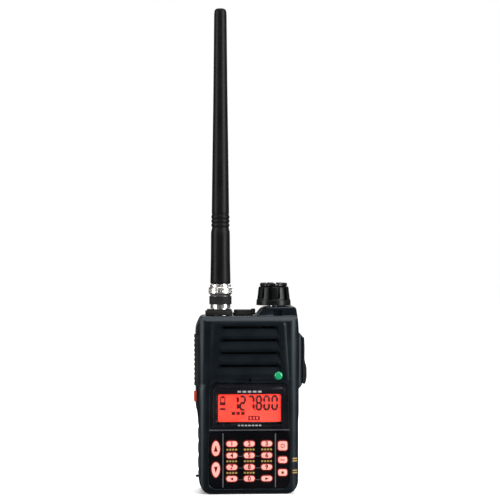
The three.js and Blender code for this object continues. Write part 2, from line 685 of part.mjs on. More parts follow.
function batteryLid() {
  const plate = common(outerForm(0.8), slab(BATTERY.front, BATTERY.front + BATTERY.lid, 5, BATTERY.top - 0.6));
  const screwRoom = SCREW_PLACES.map(([x, z]) => bar("y", 3, 0, BATTERY.front + 0.4, [x, z], 12));
  const pads = [-6, 0, 6].map((x) => block(x - 1.6, x + 1.6, BATTERY.front - 1, BATTERY.front + 0.2, 79, 83));
  return cut(plate, ...screwRoom, ...pads);
}

function batteryCells() {
  const cell = (x0, x1) => alongX(rectangle(BATTERY.front + 2, BACK - BATTERY.wall - 0.5, 9.5, 84, 3.5), x0, x1, 4);
  const strap = block(-6, 6, 9, 13, 84 - 0.2, 85);
  const bridge = block(-1, 1, 9, 13, 40, 50);
  return join(cell(-26, -0.5), cell(0.5, 26), strap, bridge);
}

piece(radio, "battery_case", CASE, batteryCase());
piece(radio, "battery_lid", CASE, batteryLid());
piece(radio, "battery_cells", CELL, batteryCells());

// U-shaped release latch: a bar under the pack with a finger tongue, and an arm up each side to its pivot,
// whose end stands out of the flank.
function batteryLatch() {
  const { y, z, outside, inside, arm } = LATCH;
  const ring = (y0, y1, top) =>
    common(cut(alongY(frontView(outside), y0, y1), alongY(frontView(inside), y0 - 1, y1 + 1)), slab(y0, y1, 0, top));
  const shoe = ring(y - 2.4, 16, 4.2);
  const arms = ring(y - arm, y + arm, z);
  const tongue = block(-12, 12, 5.8, y - 2, outside, inside);
  const pivots = [-1, 1].flatMap((way) => {
    const span = (a, b) => (way > 0 ? [a, b] : [-b, -a]);
    const eye = bar("x", arm, ...span(HALF_WIDTH - inside, HALF_WIDTH - outside), [y, z], 12);
    const nub = bar("x", 0.85, ...span(HALF_WIDTH - inside + 0.2, HALF_WIDTH + 1.5), [y, z], 10);
    return [eye, nub];
  });
  return join(shoe, arms, tongue, ...pivots);
}

piece(radio, "battery_latch", MODULE_BLACK, batteryLatch());

// ---- belt clip ----------------------------------------------------------------------------------------

// Plate on the back of the chassis with an ear on each side for the clip's pin.
function clipBracket() {
  const plate = alongY(rectangle(-12.5, 12.5, 94, 107, 2), CHASSIS.rear + 0.2, CHASSIS.rear + 2);
  const ears = [-12, 10].map((x) => {
    const lug = outline([
      [CHASSIS.rear + 1.8, CLIP.z - 4.5],
      [CLIP.y + 2.2, CLIP.z - 2.6, 1.8],
      [CLIP.y + 2.2, CLIP.z + 2.6, 1.8],
      [CHASSIS.rear + 1.8, CLIP.z + 4.5],
    ]);
    return alongX(lug, x, x + 2);
  });
  return cut(join(plate, ...ears), bar("x", 1.25, -14, 14, [CLIP.y, CLIP.z]));
}

piece(radio, "clip_bracket", DIE_CAST, clipBracket());
piece(radio, "clip_pin", STEEL, bar("x", 1.1, -12.4, 12.4, [CLIP.y, CLIP.z], 12));

// Sprung arm: a thumb pad above the pin, a barrel round it with room for the coil, and a long leg that
// turns in at its tip.
function beltClip() {
  const leg = outline([
    [CLIP.y - 1.8, CLIP.z + 3.4, 1],
    [CLIP.y + 2.2, CLIP.z + 10.3, 1],
    [CLIP.y + 4, CLIP.z + 9.8, 0.8],
    [CLIP.y + 3.7, CLIP.z, 2],
    [CLIP.y + 5.8, CLIP.z - 14, 6],
    [CLIP.y + 4.4, CLIP.tip + 6, 5],
    [CLIP.y + 2, CLIP.tip, 1],
    [CLIP.y - 0.4, CLIP.tip + 1, 0.8],
    [BACK + 0.5, CLIP.tip + 5, 0.8],
    [CLIP.y + 2.8, CLIP.tip + 10, 4],
    [CLIP.y + 3.8, CLIP.z - 14, 6],
    [CLIP.y - 1.8, CLIP.z - 3, 2],
  ]);
  const coilRoom = block(-3.2, 3.2, 15, CLIP.y + 2.8, CLIP.z - 3.4, CLIP.z + 3.8);
  return cut(alongX(leg, -CLIP.halfWidth, CLIP.halfWidth, 4), coilRoom, bar("x", 1.35, -14, 14, [CLIP.y, CLIP.z]));
}

piece(radio, "belt_clip", MODULE_BLACK, beltClip());

// Torsion spring round the pin, with both ends pointing up between the plate and the thumb pad.
function clipSpring() {
  const turns = 3.5;
  const perTurn = 10;
  const halfLength = 2;
  const points = [new THREE.Vector3(-halfLength, CLIP.y - CLIP.coil, CLIP.z + 3.2)];
  for (let i = 0; i <= turns * perTurn; i++) {
    const angle = (i / perTurn) * 2 * Math.PI;
    const x = -halfLength + (i / (turns * perTurn)) * 2 * halfLength;
    points.push(
      new THREE.Vector3(x, CLIP.y - CLIP.coil * Math.cos(angle), CLIP.z - CLIP.coil * Math.sin(angle)),
    );
  }
  points.push(new THREE.Vector3(halfLength, CLIP.y + CLIP.coil, CLIP.z + 3.2));
  const corners = Array.from({ length: 5 }, (_, i) => (i / 5) * 2 * Math.PI);
  const section = new THREE.Shape(
    corners.map((angle) => new THREE.Vector2(CLIP.wire * Math.cos(angle), CLIP.wire * Math.sin(angle))),
  );
  const wire = new THREE.ExtrudeGeometry(section, {
    extrudePath: new THREE.CatmullRomCurve3(points),
    steps: 42,
    bevelEnabled: false,
  });
  return solid(wire);
}

piece(radio, "clip_spring", STEEL, clipSpring());

export default radio;
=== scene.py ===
import math

import bmesh
import bpy
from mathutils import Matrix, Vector


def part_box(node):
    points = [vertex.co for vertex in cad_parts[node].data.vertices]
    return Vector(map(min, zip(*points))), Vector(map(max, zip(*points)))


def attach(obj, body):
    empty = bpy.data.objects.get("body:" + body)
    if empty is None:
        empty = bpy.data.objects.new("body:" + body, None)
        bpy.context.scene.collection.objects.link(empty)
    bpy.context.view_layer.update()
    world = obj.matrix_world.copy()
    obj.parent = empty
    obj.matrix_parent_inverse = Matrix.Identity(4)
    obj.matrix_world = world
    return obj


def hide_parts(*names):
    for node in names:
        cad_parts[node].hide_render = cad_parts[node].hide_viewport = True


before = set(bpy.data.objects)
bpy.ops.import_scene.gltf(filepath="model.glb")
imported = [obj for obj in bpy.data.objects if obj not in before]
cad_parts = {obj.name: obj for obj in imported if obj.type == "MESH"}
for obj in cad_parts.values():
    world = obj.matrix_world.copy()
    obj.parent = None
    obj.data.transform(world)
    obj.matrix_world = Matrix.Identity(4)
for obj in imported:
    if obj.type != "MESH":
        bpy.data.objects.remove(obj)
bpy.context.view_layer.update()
MM = 0.001

# ---- camera, light and floor --------------------------------------------------------------------------
# A pale paper sweep under a tall soft box on each side, one behind and a wide soft sun overhead. The floor
# lights the radio but is not mirrored in its black plastic.
# The camera stands a little to the left of the front and slightly above the middle of the radio.

AIM = Vector((0.0015, 0, 0.1526))
DISTANCE = 1.2
YAW = math.radians(-3.5)
RISE = math.radians(0.8)
towards = Vector((math.sin(YAW) * math.cos(RISE), -math.cos(YAW) * math.cos(RISE), math.sin(RISE)))


def facing(place, target):
    """Turns for something at place that looks at target."""
    return (target - place).to_track_quat("-Z", "Y").to_euler()


bpy.ops.object.select_all(action="DESELECT")
camera_place = AIM + towards * DISTANCE
bpy.ops.object.camera_add(location=camera_place, rotation=facing(camera_place, AIM))
camera = bpy.context.object
camera.data.sensor_width = 36
camera.data.lens = 136.7
camera.data.clip_end = 20
bpy.context.scene.camera = camera

for title, place, size_x, size_y, power in [
    ("soft_box_right", Vector((1.0, -0.75, 0.5)), 0.5, 1.1, 30),
    ("soft_box_left", Vector((-1.1, -0.4, 0.45)), 0.4, 1.1, 16),
    ("soft_box_back", Vector((0.2, 1.2, 0.9)), 0.9, 0.7, 10),
]:
    bpy.ops.object.light_add(type="AREA", location=place, rotation=facing(place, Vector((0, 0, 0.13))))
    soft_box = bpy.context.object
    soft_box.name = title
    soft_box.data.shape = "RECTANGLE"
    soft_box.data.size = size_x
    soft_box.data.size_y = size_y
    soft_box.data.energy = power

bpy.ops.object.light_add(type="SUN", location=(0, 0, 2), rotation=(math.radians(8), math.radians(4), 0))
overhead = bpy.context.object
overhead.name = "soft_box_overhead"
overhead.data.energy = 3.0
overhead.data.angle = math.radians(50)

studio = bpy.data.worlds.new("studio")
studio.use_nodes = True
bpy.context.scene.world = studio
sky = studio.node_tree.nodes["Background"]
sky.inputs["Color"].default_value = (1, 1, 1, 1)
sky.inputs["Strength"].default_value = 0.14
backdrop = studio.node_tree.nodes.new("ShaderNodeBackground")
backdrop.inputs["Color"].default_value = (1, 1, 1, 1)
backdrop.inputs["Strength"].default_value = 1.0
seen = studio.node_tree.nodes.new("ShaderNodeLightPath")
chosen = studio.node_tree.nodes.new("ShaderNodeMixShader")
studio.node_tree.links.new(seen.outputs["Is Camera Ray"], chosen.inputs["Fac"])
studio.node_tree.links.new(sky.outputs["Background"], chosen.inputs[1])
studio.node_tree.links.new(backdrop.outputs["Background"], chosen.inputs[2])
studio.node_tree.links.new(chosen.outputs["Shader"], studio.node_tree.nodes["World Output"].inputs["Surface"])
bpy.context.scene.view_settings.view_transform = "Standard"

bpy.ops.mesh.primitive_plane_add(size=6, location=(0, 0, 0))
floor = bpy.context.object
floor.name = "floor"
floor.visible_glossy = False
paper = bpy.data.materials.new("paper_sweep")
paper.use_nodes = True
paper_shader = paper.node_tree.nodes["Principled BSDF"]
paper_shader.inputs["Roughness"].default_value = 0.9
paper_shader.inputs["Specular IOR Level"].default_value = 0.1
paper_fibre = paper.node_tree.nodes.new("ShaderNodeTexNoise")
paper_fibre.inputs["Scale"].default_value = 60
paper_tone = paper.node_tree.nodes.new("ShaderNodeValToRGB")
paper_tone.color_ramp.elements[0].color = (0.93, 0.93, 0.93, 1)
paper_tone.color_ramp.elements[1].color = (0.97, 0.97, 0.97, 1)
paper_place = paper.node_tree.nodes.new("ShaderNodeTexCoord")
paper.node_tree.links.new(paper_place.outputs["Object"], paper_fibre.inputs["Vector"])
paper.node_tree.links.new(paper_fibre.outputs["Fac"], paper_tone.inputs["Fac"])
paper.node_tree.links.new(paper_tone.outputs["Color"], paper_shader.inputs["Base Color"])
floor.data.materials.append(paper)

# ---- front case ---------------------------------------------------------------------------------------
# Injection moulded shell of the front half, in matt blue-black polycarbonate with a fine spark texture.
# It carries the raised loudspeaker panel with four louvres, the openings of the window and the keypad,
# and on its right flank the pod of the power socket.


def pick_only(piece):
    """Leaves one piece selected and active, in object mode."""
    if bpy.context.mode != "OBJECT":
        bpy.ops.object.mode_set(mode="OBJECT")
    bpy.ops.object.select_all(action="DESELECT")
    piece.select_set(True)
    bpy.context.view_layer.objects.active = piece


def pick_front(piece):
    """Enters edit mode with the faces that look forward selected."""
    pick_only(piece)
    bpy.ops.object.mode_set(mode="EDIT")
    bpy.ops.mesh.select_mode(type="FACE")
    bpy.ops.mesh.select_all(action="DESELECT")
    cage = bmesh.from_edit_mesh(piece.data)
    for face in cage.faces:
        face.select = face.normal.y < -0.9
    bmesh.update_edit_mesh(piece.data)


def panel(name, corners, steps=5):
    """A flat face through corners [x, y, radius] in millimetres, each corner rounded by its radius."""
    if bpy.context.mode != "OBJECT":
        bpy.ops.object.mode_set(mode="OBJECT")
    bpy.ops.object.select_all(action="DESELECT")
    bpy.ops.mesh.primitive_circle_add(vertices=len(corners), radius=MM, fill_type="NGON")
    piece = bpy.context.object
    piece.name = name
    bpy.ops.object.mode_set(mode="EDIT")
    cage = bmesh.from_edit_mesh(piece.data)
    places = [(Vector((c[0], c[1], 0)) * MM, c[2] if len(c) > 2 else 0) for c in corners]
    cage.verts.ensure_lookup_table()
    for corner, (place, _) in zip(cage.verts, places):
        corner.co = place
    bmesh.update_edit_mesh(piece.data)
    for radius in sorted({r for _, r in places if r}):
        bpy.ops.mesh.select_all(action="DESELECT")
        cage = bmesh.from_edit_mesh(piece.data)
        for corner in cage.verts:
            corner.select = any(r == radius and (corner.co - p).length < 1e-6 for p, r in places)
        cage.select_mode = {"VERT"}
        bmesh.update_edit_mesh(piece.data)
        bpy.ops.mesh.bevel(offset=radius * MM, segments=steps, affect="VERTICES")
    bpy.ops.mesh.select_all(action="SELECT")
    return piece


TURNS = {"z": (0, 0, 0), "y": (math.pi / 2, 0, 0), "x": (math.pi / 2, 0, math.pi / 2)}


def push(piece, low, high, axis="y"):
    """Pushes a flat face into a solid from low to high along axis; the face lies in the other two axes."""
    start, end = (-high, -low) if axis == "y" else (low, high)
    bpy.ops.transform.translate(value=(0, 0, start * MM))
    bpy.ops.mesh.extrude_region_move(TRANSFORM_OT_translate={"value": (0, 0, (end - start) * MM)})
    bpy.ops.mesh.select_all(action="SELECT")
    bpy.ops.mesh.remove_doubles(threshold=1e-6)
    bpy.ops.mesh.normals_make_consistent(inside=False)
    bpy.ops.object.mode_set(mode="OBJECT")
    piece.rotation_euler = TURNS[axis]
    bpy.ops.object.transform_apply(location=False, rotation=True, scale=False)
    return piece


def oblong(left, right, low, high, radius=0):
    """Corners of a rectangle, each rounded by radius."""
    return [(left, low, radius), (right, low, radius), (right, high, radius), (left, high, radius)]


def cut_cornered(half, low, high, cut, foot, corner):
    """Outline of the window and the keypad: rounded by foot below, its two upper corners cut off."""
    return [
        (-half, low, foot), (half, low, foot), (half, high - cut, corner),
        (half - cut, high, corner), (cut - half, high, corner), (-half, high - cut, corner),
    ]


def block(name, low, high, radius=0, steps=4):
    """A squared solid between two corners, in millimetres, with its upright edges rounded."""
    x0, y0, z0 = low
    x1, y1, z1 = high
    flat = panel(name, oblong(x0, x1, y0, y1, radius), steps)
    return push(flat, z0, z1, "z")


def drum(name, radius, low, high, centre, axis="z", sides=40):
    """A round solid along axis; centre is its place in the other two axes."""
    a, b = centre
    ring = [
        (a + radius * math.cos(2 * math.pi * i / sides), b + radius * math.sin(2 * math.pi * i / sides))
        for i in range(sides)
    ]
    return push(panel(name, ring), low, high, axis)


def apply_boolean(piece, tool, operation):
    pick_only(piece)
    step = piece.modifiers.new("step", "BOOLEAN")
    step.operation = operation
    step.object = tool
    step.solver = "MANIFOLD"
    bpy.ops.object.modifier_apply(modifier=step.name)
    bpy.data.objects.remove(tool)
    return piece


def carve(piece, *tools):
    for tool in tools:
        apply_boolean(piece, tool, "DIFFERENCE")
    return piece


def weld(piece, *tools):
    for tool in tools:
        apply_boolean(piece, tool, "UNION")
    return piece


def keep_common(piece, *tools):
    for tool in tools:
        apply_boolean(piece, tool, "INTERSECT")
    return piece


def smooth(piece, angle=50):
    """Smooths the shading across edges blunter than angle, and keeps the flat faces flat."""
    pick_only(piece)
    bpy.ops.object.shade_smooth_by_angle(angle=math.radians(angle))
    evened = piece.modifiers.new("evened", "WEIGHTED_NORMAL")
    evened.keep_sharp = True
    bpy.ops.object.modifier_apply(modifier=evened.name)
    return piece


def soften(piece, width, segments=2, angle=33):
    """Breaks the edges sharper than angle by width millimetres."""
    pick_only(piece)
    bpy.ops.object.mode_set(mode="EDIT")
    bpy.ops.mesh.select_all(action="SELECT")
    bpy.ops.mesh.remove_doubles(threshold=2e-6)
    bpy.ops.object.mode_set(mode="OBJECT")
    edges = piece.modifiers.new("edges", "BEVEL")
    edges.width = width * MM
    edges.segments = segments
    edges.limit_method = "ANGLE"
    edges.angle_limit = math.radians(angle)
    bpy.ops.object.modifier_apply(modifier=edges.name)
    return smooth(piece)


def flared(piece, growth):
    """Widens the front face of an opening's cutter, so that it leaves a chamfer."""
    pick_front(piece)
    cage = bmesh.from_edit_mesh(piece.data)
    front = [corner.co.copy() for face in cage.faces if face.select for corner in face.verts]
    low = Vector(min(place[i] for place in front) for i in range(3))
    high = Vector(max(place[i] for place in front) for i in range(3))
    size = high - low
    wider = (1 + 2 * growth * MM / size.x, 1, 1 + 2 * growth * MM / size.z)
    bpy.ops.transform.resize(value=wider, center_override=(low + high) / 2)
    bpy.ops.object.mode_set(mode="OBJECT")
    return piece


def front_view(inset=0):
    """Corners of the casing seen from the front; insetting it gives the inside of the walls."""
    return [
        (inset - 31, inset, 8.5),
        (inset - 31, 47.5, 4),
        (inset - 32.7, 52, 4),
        (inset - 32.7, 104.2, 3),
        (inset - 29.3, 111.4 - inset, 2.2),
        (5.6 + inset, 111.4 - inset, 2),
        (9.4 + inset, 116.6 - inset, 2.5),
        (29.6 - inset, 117.4 - inset, 2),
        (31.4 - inset, 105, 6),
        (31.4 - inset, 50, 4),
        (31 - inset, 46, 3),
        (31 - inset, inset, 8.5),
    ]


def casing(name, y0, y1, inset=0):
    """The whole outer form between two depths: front view, plan section and side view, pushed through."""
    flank = 32.8 - inset
    plan = [
        (-flank, inset - 16.5, 8),
        (flank, inset - 16.5, 8),
        (flank, 16.5 - inset, 5),
        (-flank, 16.5 - inset, 5),
    ]
    side = [
        (inset - 16.5, inset, 4),
        (16.5 - inset, inset, 3),
        (16.5 - inset, 91.3, 0),
        (13.8 - inset, 93.4, 1),
        (13.8 - inset, 110 - inset, 5),
        (12.6 - inset, 117.4 - inset, 2),
        (inset - 12.4, 117.4 - inset, 1.5),
        (inset - 13.2, 111.4 - inset, 1),
        (inset - 16.5, 108.4 - inset, 1),
    ]
    form = push(panel(name, front_view(inset), 6), y0, y1, "y")
    upright = push(panel("plan", plan, 8), -1, 119, "z")
    across = push(panel("side", side, 4), -34, 34, "x")
    return keep_common(form, upright, across)


case = soften(casing("front_shell", -17, 1), 0.5, 3)

GRILLE = [(-25.2, 70.2, 1.5), (25.2, 70.2, 1.5), (22.8, 108.3, 2), (-22.8, 108.3, 2)]
grille = push(panel("grille", GRILLE, 4), -16.5, -14, "y")
pick_front(grille)
bpy.ops.mesh.inset(thickness=1.5 * MM, depth=0.5 * MM)
weld(case, grille)

POD = [(24, 65.8), (31.2, 65.0, 1.5), (34.1, 68.2, 1.2), (34.1, 98.4, 1.2), (31.0, 101.9, 1.5), (24, 100.9)]
pod = push(panel("pod", POD, 5), -16, 0.9, "y")
pod_plan = push(panel("plan", [(24, -12.5), (34.1, -9.6, 2), (34.1, 0.9), (24, 0.9)], 5), 60, 105, "z")
weld(case, soften(keep_common(pod, pod_plan), 0.5, 3))
carve(case, casing("inside", -16, 3, 1.8))

LOUVRES = range(4)
LOUVRE_PITCH = 8


def louvre(row):
    """Cutter of one louvre: deepest under its upper edge, and ramping out to the surface below it."""
    top = 105.3 - LOUVRE_PITCH * row
    half = 18.2 + 0.5 * row
    opening = [(-half, top - 6.4, 3), (half, top - 6.4, 3), (half, top, 1.8), (-half, top, 1.8)]
    scoop = flared(push(panel("louvre", opening, 6), -17.5, -12, "y"), 0.45)
    ramp = [(-18, top + 2), (-15.4, top + 2), (-15.4, top - 1.6), (-17.1, top - 6.4), (-18, top - 6.4)]
    return keep_common(scoop, push(panel("ramp", ramp), -25, 25, "x"))


def slit(row):
    """Cutter of the open slit under a louvre's upper edge."""
    half = 16.4 + 0.5 * row
    drop = LOUVRE_PITCH * row
    return block("slit", (-half, -16.5, 103.7 - drop), (half, -13, 105.1 - drop))


def middle(node):
    """Middle of a CAD node seen from the front, in millimetres."""
    low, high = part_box(node)
    return (low.x + high.x) / 2 / MM, (low.z + high.z) / 2 / MM


ANTENNA = (-17.2, 0.4)
KNOBS = (16.4, 0)
HEADSET_SOCKETS = [(-6.1, 3.2), (0.4, 2.7)]


def top_holes():
    """Cutters of the holes in the top, for the antenna, the knobs' shafts and the two headset sockets."""
    sockets = [drum("jack_hole", radius, 100, 125, (x, 0)) for x, radius in HEADSET_SOCKETS]
    antenna_hole = drum("antenna_hole", 5.2, 100, 125, ANTENNA)
    return [antenna_hole, drum("knob_hole", 4.6, 100, 125, KNOBS), *sockets]


carve(case, *[louvre(row) for row in LOUVRES])
carve(case, *[slit(row) for row in LOUVRES])
LED = middle("led_lens")
WINDOW = cut_cornered(24.5, 40.8, 69.6, 3.2, 0.6, 0.6)
KEYPAD = cut_cornered(25.4, 3.6, 40, 2.6, 4.5, 0.6)
carve(
    case,
    push(panel("window", WINDOW, 3), -20, -13, "y"),
    flared(push(panel("window_rim", WINDOW, 3), -16.9, -16.1, "y"), 0.8),
    push(panel("keypad", KEYPAD, 5), -20, -13, "y"),
    flared(push(panel("keypad_rim", KEYPAD, 5), -16.8, -16.2, "y"), 0.6),
    drum("led", 3, -20, -12, LED, "y", 32),
    flared(drum("led_rim", 3, -17.3, -16.7, LED, "y", 32), 0.6),
    drum("microphone", 0.8, -20, -12, (0.5, 71.8), "y", 20),
    block("talk", (-36, -12.5, 67.5), (-28.9, -1.9, 100.1)),
    block("monitor", (-36, -9.9, 57.3), (-28.9, -3.1, 64.7)),
    drum("power", 1.9, 28, 40, (-4.6, 88), "x", 24),
    block("turret_pocket", (15.4, -14, 111.6), (21, -11.2, 115.4)),
    *top_holes(),
)
# Under the grip the left shoulder falls back in a shallow scallop.
scallop = push(panel("scallop", [(-11, 69), (-6.9, 69), (-8.1, 56), (-11, 56)]), -12, 12, "x")
scallop.rotation_euler = (0, 0, math.radians(-45))
scallop.location = Vector((-24.8, -8.5, 0)) * MM
bpy.ops.object.transform_apply(location=True, rotation=True, scale=False)
carve(case, scallop)
smooth(case, 40)

MOULD_SCALE = 2600


def effect_group(title, inputs, outputs):
    """An empty shader group: its inputs are (name, type, value) and its outputs (name, type)."""
    group = bpy.data.node_groups.new(title, "ShaderNodeTree")
    for label, kind, value in inputs:
        socket = group.interface.new_socket(label, in_out="INPUT", socket_type=kind)
        if value is not None:
            socket.default_value = value
    for label, kind in outputs:
        group.interface.new_socket(label, in_out="OUTPUT", socket_type=kind)
    return group, group.nodes.new("NodeGroupInput"), group.nodes.new("NodeGroupOutput")


# Fine spark texture of a mould: a grain height and a slow change of tone.
grain_group, grain_in, grain_out = effect_group(
    "moulded_grain",
    [
        ("Vector", "NodeSocketVector", None),
        ("Scale", "NodeSocketFloat", MOULD_SCALE),
        ("Patch Scale", "NodeSocketFloat", 70),
    ],
    [("Height", "NodeSocketFloat"), ("Tone", "NodeSocketFloat")],
)
spark = grain_group.nodes.new("ShaderNodeTexNoise")
spark.inputs["Detail"].default_value = 3
pits = grain_group.nodes.new("ShaderNodeTexVoronoi")
patches = grain_group.nodes.new("ShaderNodeTexNoise")
patches.inputs["Detail"].default_value = 4
both = grain_group.nodes.new("ShaderNodeMath")
both.operation = "MULTIPLY"
for texture, scale in [(spark, "Scale"), (pits, "Scale"), (patches, "Patch Scale")]:
    grain_group.links.new(grain_in.outputs["Vector"], texture.inputs["Vector"])
    grain_group.links.new(grain_in.outputs[scale], texture.inputs["Scale"])
grain_group.links.new(spark.outputs["Fac"], both.inputs[0])
grain_group.links.new(pits.outputs["Distance"], both.inputs[1])
grain_group.links.new(both.outputs[0], grain_out.inputs["Height"])
grain_group.links.new(patches.outputs["Fac"], grain_out.inputs["Tone"])

# Paler rubbed edges: sharp outward edges, broken up by a noise.
wear_group, wear_in, wear_out = effect_group(
    "edge_wear",
    [
        ("Vector", "NodeSocketVector", None),
        ("Reach", "NodeSocketFloat", 0.58),
        ("Amount", "NodeSocketFloat", 0.5),
    ],
    [("Mask", "NodeSocketFloat")],
)
edge_sense = wear_group.nodes.new("ShaderNodeNewGeometry")
edge_range = wear_group.nodes.new("ShaderNodeMapRange")
edge_range.inputs["From Max"].default_value = 0.72
rub = wear_group.nodes.new("ShaderNodeTexNoise")
rub.inputs["Scale"].default_value = 420
rub.inputs["Detail"].default_value = 5
rub_range = wear_group.nodes.new("ShaderNodeMapRange")
rub_range.inputs["From Min"].default_value = 0.35
rub_range.inputs["From Max"].default_value = 0.65
rubbed = wear_group.nodes.new("ShaderNodeMath")
rubbed.operation = "MULTIPLY"
scaled = wear_group.nodes.new("ShaderNodeMath")
scaled.operation = "MULTIPLY"
wear_group.links.new(wear_in.outputs["Vector"], rub.inputs["Vector"])
wear_group.links.new(wear_in.outputs["Reach"], edge_range.inputs["From Min"])
wear_group.links.new(edge_sense.outputs["Pointiness"], edge_range.inputs["Value"])
wear_group.links.new(rub.outputs["Fac"], rub_range.inputs["Value"])
wear_group.links.new(edge_range.outputs["Result"], rubbed.inputs[0])
wear_group.links.new(rub_range.outputs["Result"], rubbed.inputs[1])
wear_group.links.new(rubbed.outputs[0], scaled.inputs[0])
wear_group.links.new(wear_in.outputs["Amount"], scaled.inputs[1])
wear_group.links.new(scaled.outputs[0], wear_out.inputs["Mask"])


def place_group(tree, group, vector, **values):
    node = tree.nodes.new("ShaderNodeGroup")
    node.node_tree = group
    tree.links.new(vector, node.inputs["Vector"])
    for label, value in values.items():
        node.inputs[label.replace("_", " ")].default_value = value
    return node


def mix_colour(tree, factor, first, second):
    """A colour between first and second; each is an (r, g, b) or a socket."""
    node = tree.nodes.new("ShaderNodeMix")
    node.data_type = "RGBA"
    tree.links.new(factor, node.inputs["Factor"])
    for label, value in [("A", first), ("B", second)]:
        if isinstance(value, tuple):
            node.inputs[label].default_value = (*value, 1)
        else:
            tree.links.new(value, node.inputs[label])
    return node.outputs["Result"]


def moulded(
    title, colour, lighter, roughness,
    spread=0.08, scale=MOULD_SCALE, grain=0.25, worn=None, wear=0.5, metallic=0, specular=0.2,
):
    """A moulded or cast finish: two tones in soft patches, a fine grain, and rubbed edges if worn is given."""
    material = bpy.data.materials.new(title)
    material.use_nodes = True
    tree = material.node_tree
    shader = tree.nodes["Principled BSDF"]
    where = tree.nodes.new("ShaderNodeTexCoord").outputs["Object"]
    texture = place_group(tree, grain_group, where, Scale=scale)
    contrast = tree.nodes.new("ShaderNodeMapRange")
    contrast.inputs["From Min"].default_value = 0.35
    contrast.inputs["From Max"].default_value = 0.65
    tree.links.new(texture.outputs["Tone"], contrast.inputs["Value"])
    tone = mix_colour(tree, contrast.outputs["Result"], colour, lighter)
    if worn:
        mask = place_group(tree, wear_group, where, Amount=wear)
        tone = mix_colour(tree, mask.outputs["Mask"], tone, worn)
    tree.links.new(tone, shader.inputs["Base Color"])
    gloss = tree.nodes.new("ShaderNodeMapRange")
    gloss.inputs["To Min"].default_value = roughness - spread
    gloss.inputs["To Max"].default_value = roughness + spread
    tree.links.new(texture.outputs["Tone"], gloss.inputs["Value"])
    tree.links.new(gloss.outputs["Result"], shader.inputs["Roughness"])
    bump = tree.nodes.new("ShaderNodeBump")
    bump.inputs["Strength"].default_value = grain
    bump.inputs["Distance"].default_value = 0.0001
    tree.links.new(texture.outputs["Height"], bump.inputs["Height"])
    tree.links.new(bump.outputs["Normal"], shader.inputs["Normal"])
    shader.inputs["Metallic"].default_value = metallic
    shader.inputs["Specular IOR Level"].default_value = specular
    return material


def finish_of(material):
    return material.node_tree.nodes["Principled BSDF"]


def paint(piece, *materials):
    piece.data.materials.clear()
    for material in materials:
        piece.data.materials.append(material)


case_plastic = moulded(
    "case_plastic", (0.0011, 0.0019, 0.003), (0.0021, 0.0035, 0.0052), 0.34,
    worn=(0.012, 0.015, 0.018), wear=0.4,
)
finish_of(case_plastic).inputs["Specular Tint"].default_value = (0.78, 0.92, 1, 1)
paint(case, case_plastic)
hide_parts("front_case")
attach(case, "radio")

# ---- rear chassis -------------------------------------------------------------------------------------
# Die cast back half that closes the case and carries the battery rails, the antenna socket and the belt
# clip. It is painted the same blue-black as the case under a thin clear coat, and held by four screws.

chassis = casing("back_chassis", 1.6, 5)
upper_back = keep_common(casing("upper", 1.6, 17), block("above", (-45, 0, 91.6), (45, 20, 130)))
soften(weld(chassis, upper_back), 0.4, 3)
carve(
    chassis,
    casing("inside", 0, 3.2, 1.8),
    keep_common(casing("inside", 0, 17, 1.8), block("above", (-45, -5, 93.4), (45, 20, 130))),
    block("terminal_window", (-9.3, 0, 77.7), (9.3, 8, 84.3)),
    block("socket_relief", (27, 0, 80), (29, 2, 95)),
    *top_holes(),
    *[drum("screw_hole", 1.4, -5, 20, place, "y", 20) for place in [(-24, 8), (24, 8), (-24, 86), (24, 86)]],
)
smooth(chassis, 40)
chassis_paint = moulded(
    "chassis_paint", (0.001, 0.0021, 0.0035), (0.002, 0.0039, 0.006), 0.36,
    scale=1800, worn=(0.12, 0.12, 0.12), wear=0.4,
)
finish_of(chassis_paint).inputs["Specular Tint"].default_value = (0.7, 0.9, 1, 1)
finish_of(chassis_paint).inputs["Coat Weight"].default_value = 0.08
paint(chassis, chassis_paint)
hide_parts("rear_chassis")
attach(chassis, "radio")

# ---- gasket and case screws ---------------------------------------------------------------------------
# A black rubber gasket runs round the joint of the two halves, and four small steel screws close it from
# behind, under the battery.

gasket_rubber = moulded(
    "gasket_rubber", (0.005, 0.005, 0.005), (0.01, 0.01, 0.01), 0.7,
    scale=1500, grain=0.4, specular=0.14,
)
screw_steel = moulded(
    "screw_steel", (0.42, 0.42, 0.43), (0.55, 0.55, 0.56), 0.32,
    scale=900, grain=0.1, metallic=1,
)
paint(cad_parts["case_seal"], gasket_rubber)
for number in range(1, 5):
    paint(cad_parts[f"case_screw_{number}"], screw_steel)

# ---- display window -----------------------------------------------------------------------------------
# Clear acrylic plate let into the front of the case, printed glossy black round its edge from behind.

CLEAR_LEFT, CLEAR_RIGHT = -21.0, 20.4
CLEAR_LOW, CLEAR_HIGH = 44.0, 63.0

window = push(panel("window_plate", cut_cornered(24.2, 41.1, 69.3, 3, 0.5, 0.5), 3), -15.9, -14.7)
weld(window, push(panel("lens", cut_cornered(22.2, 42, 67.6, 2.4, 1.5, 0.8), 4), -16.3, -15.5))
soften(window, 0.18)
pick_only(window)
bpy.ops.object.mode_set(mode="EDIT")
for height, upwards in [(CLEAR_LOW, -1), (CLEAR_HIGH, 1)]:
    bpy.ops.mesh.select_all(action="SELECT")
    bpy.ops.mesh.bisect(plane_co=(0, 0, height * MM), plane_no=(0, 0, upwards))
for side in (CLEAR_LEFT, CLEAR_RIGHT):
    bpy.ops.mesh.select_all(action="SELECT")
    bpy.ops.mesh.bisect(plane_co=(side * MM, 0, 0), plane_no=(1, 0, 0))
bpy.ops.object.mode_set(mode="OBJECT")
window_print = moulded(
    "window_print", (0.003, 0.003, 0.004), (0.005, 0.005, 0.006), 0.16,
    spread=0.03, grain=0.02, specular=0.15,
)
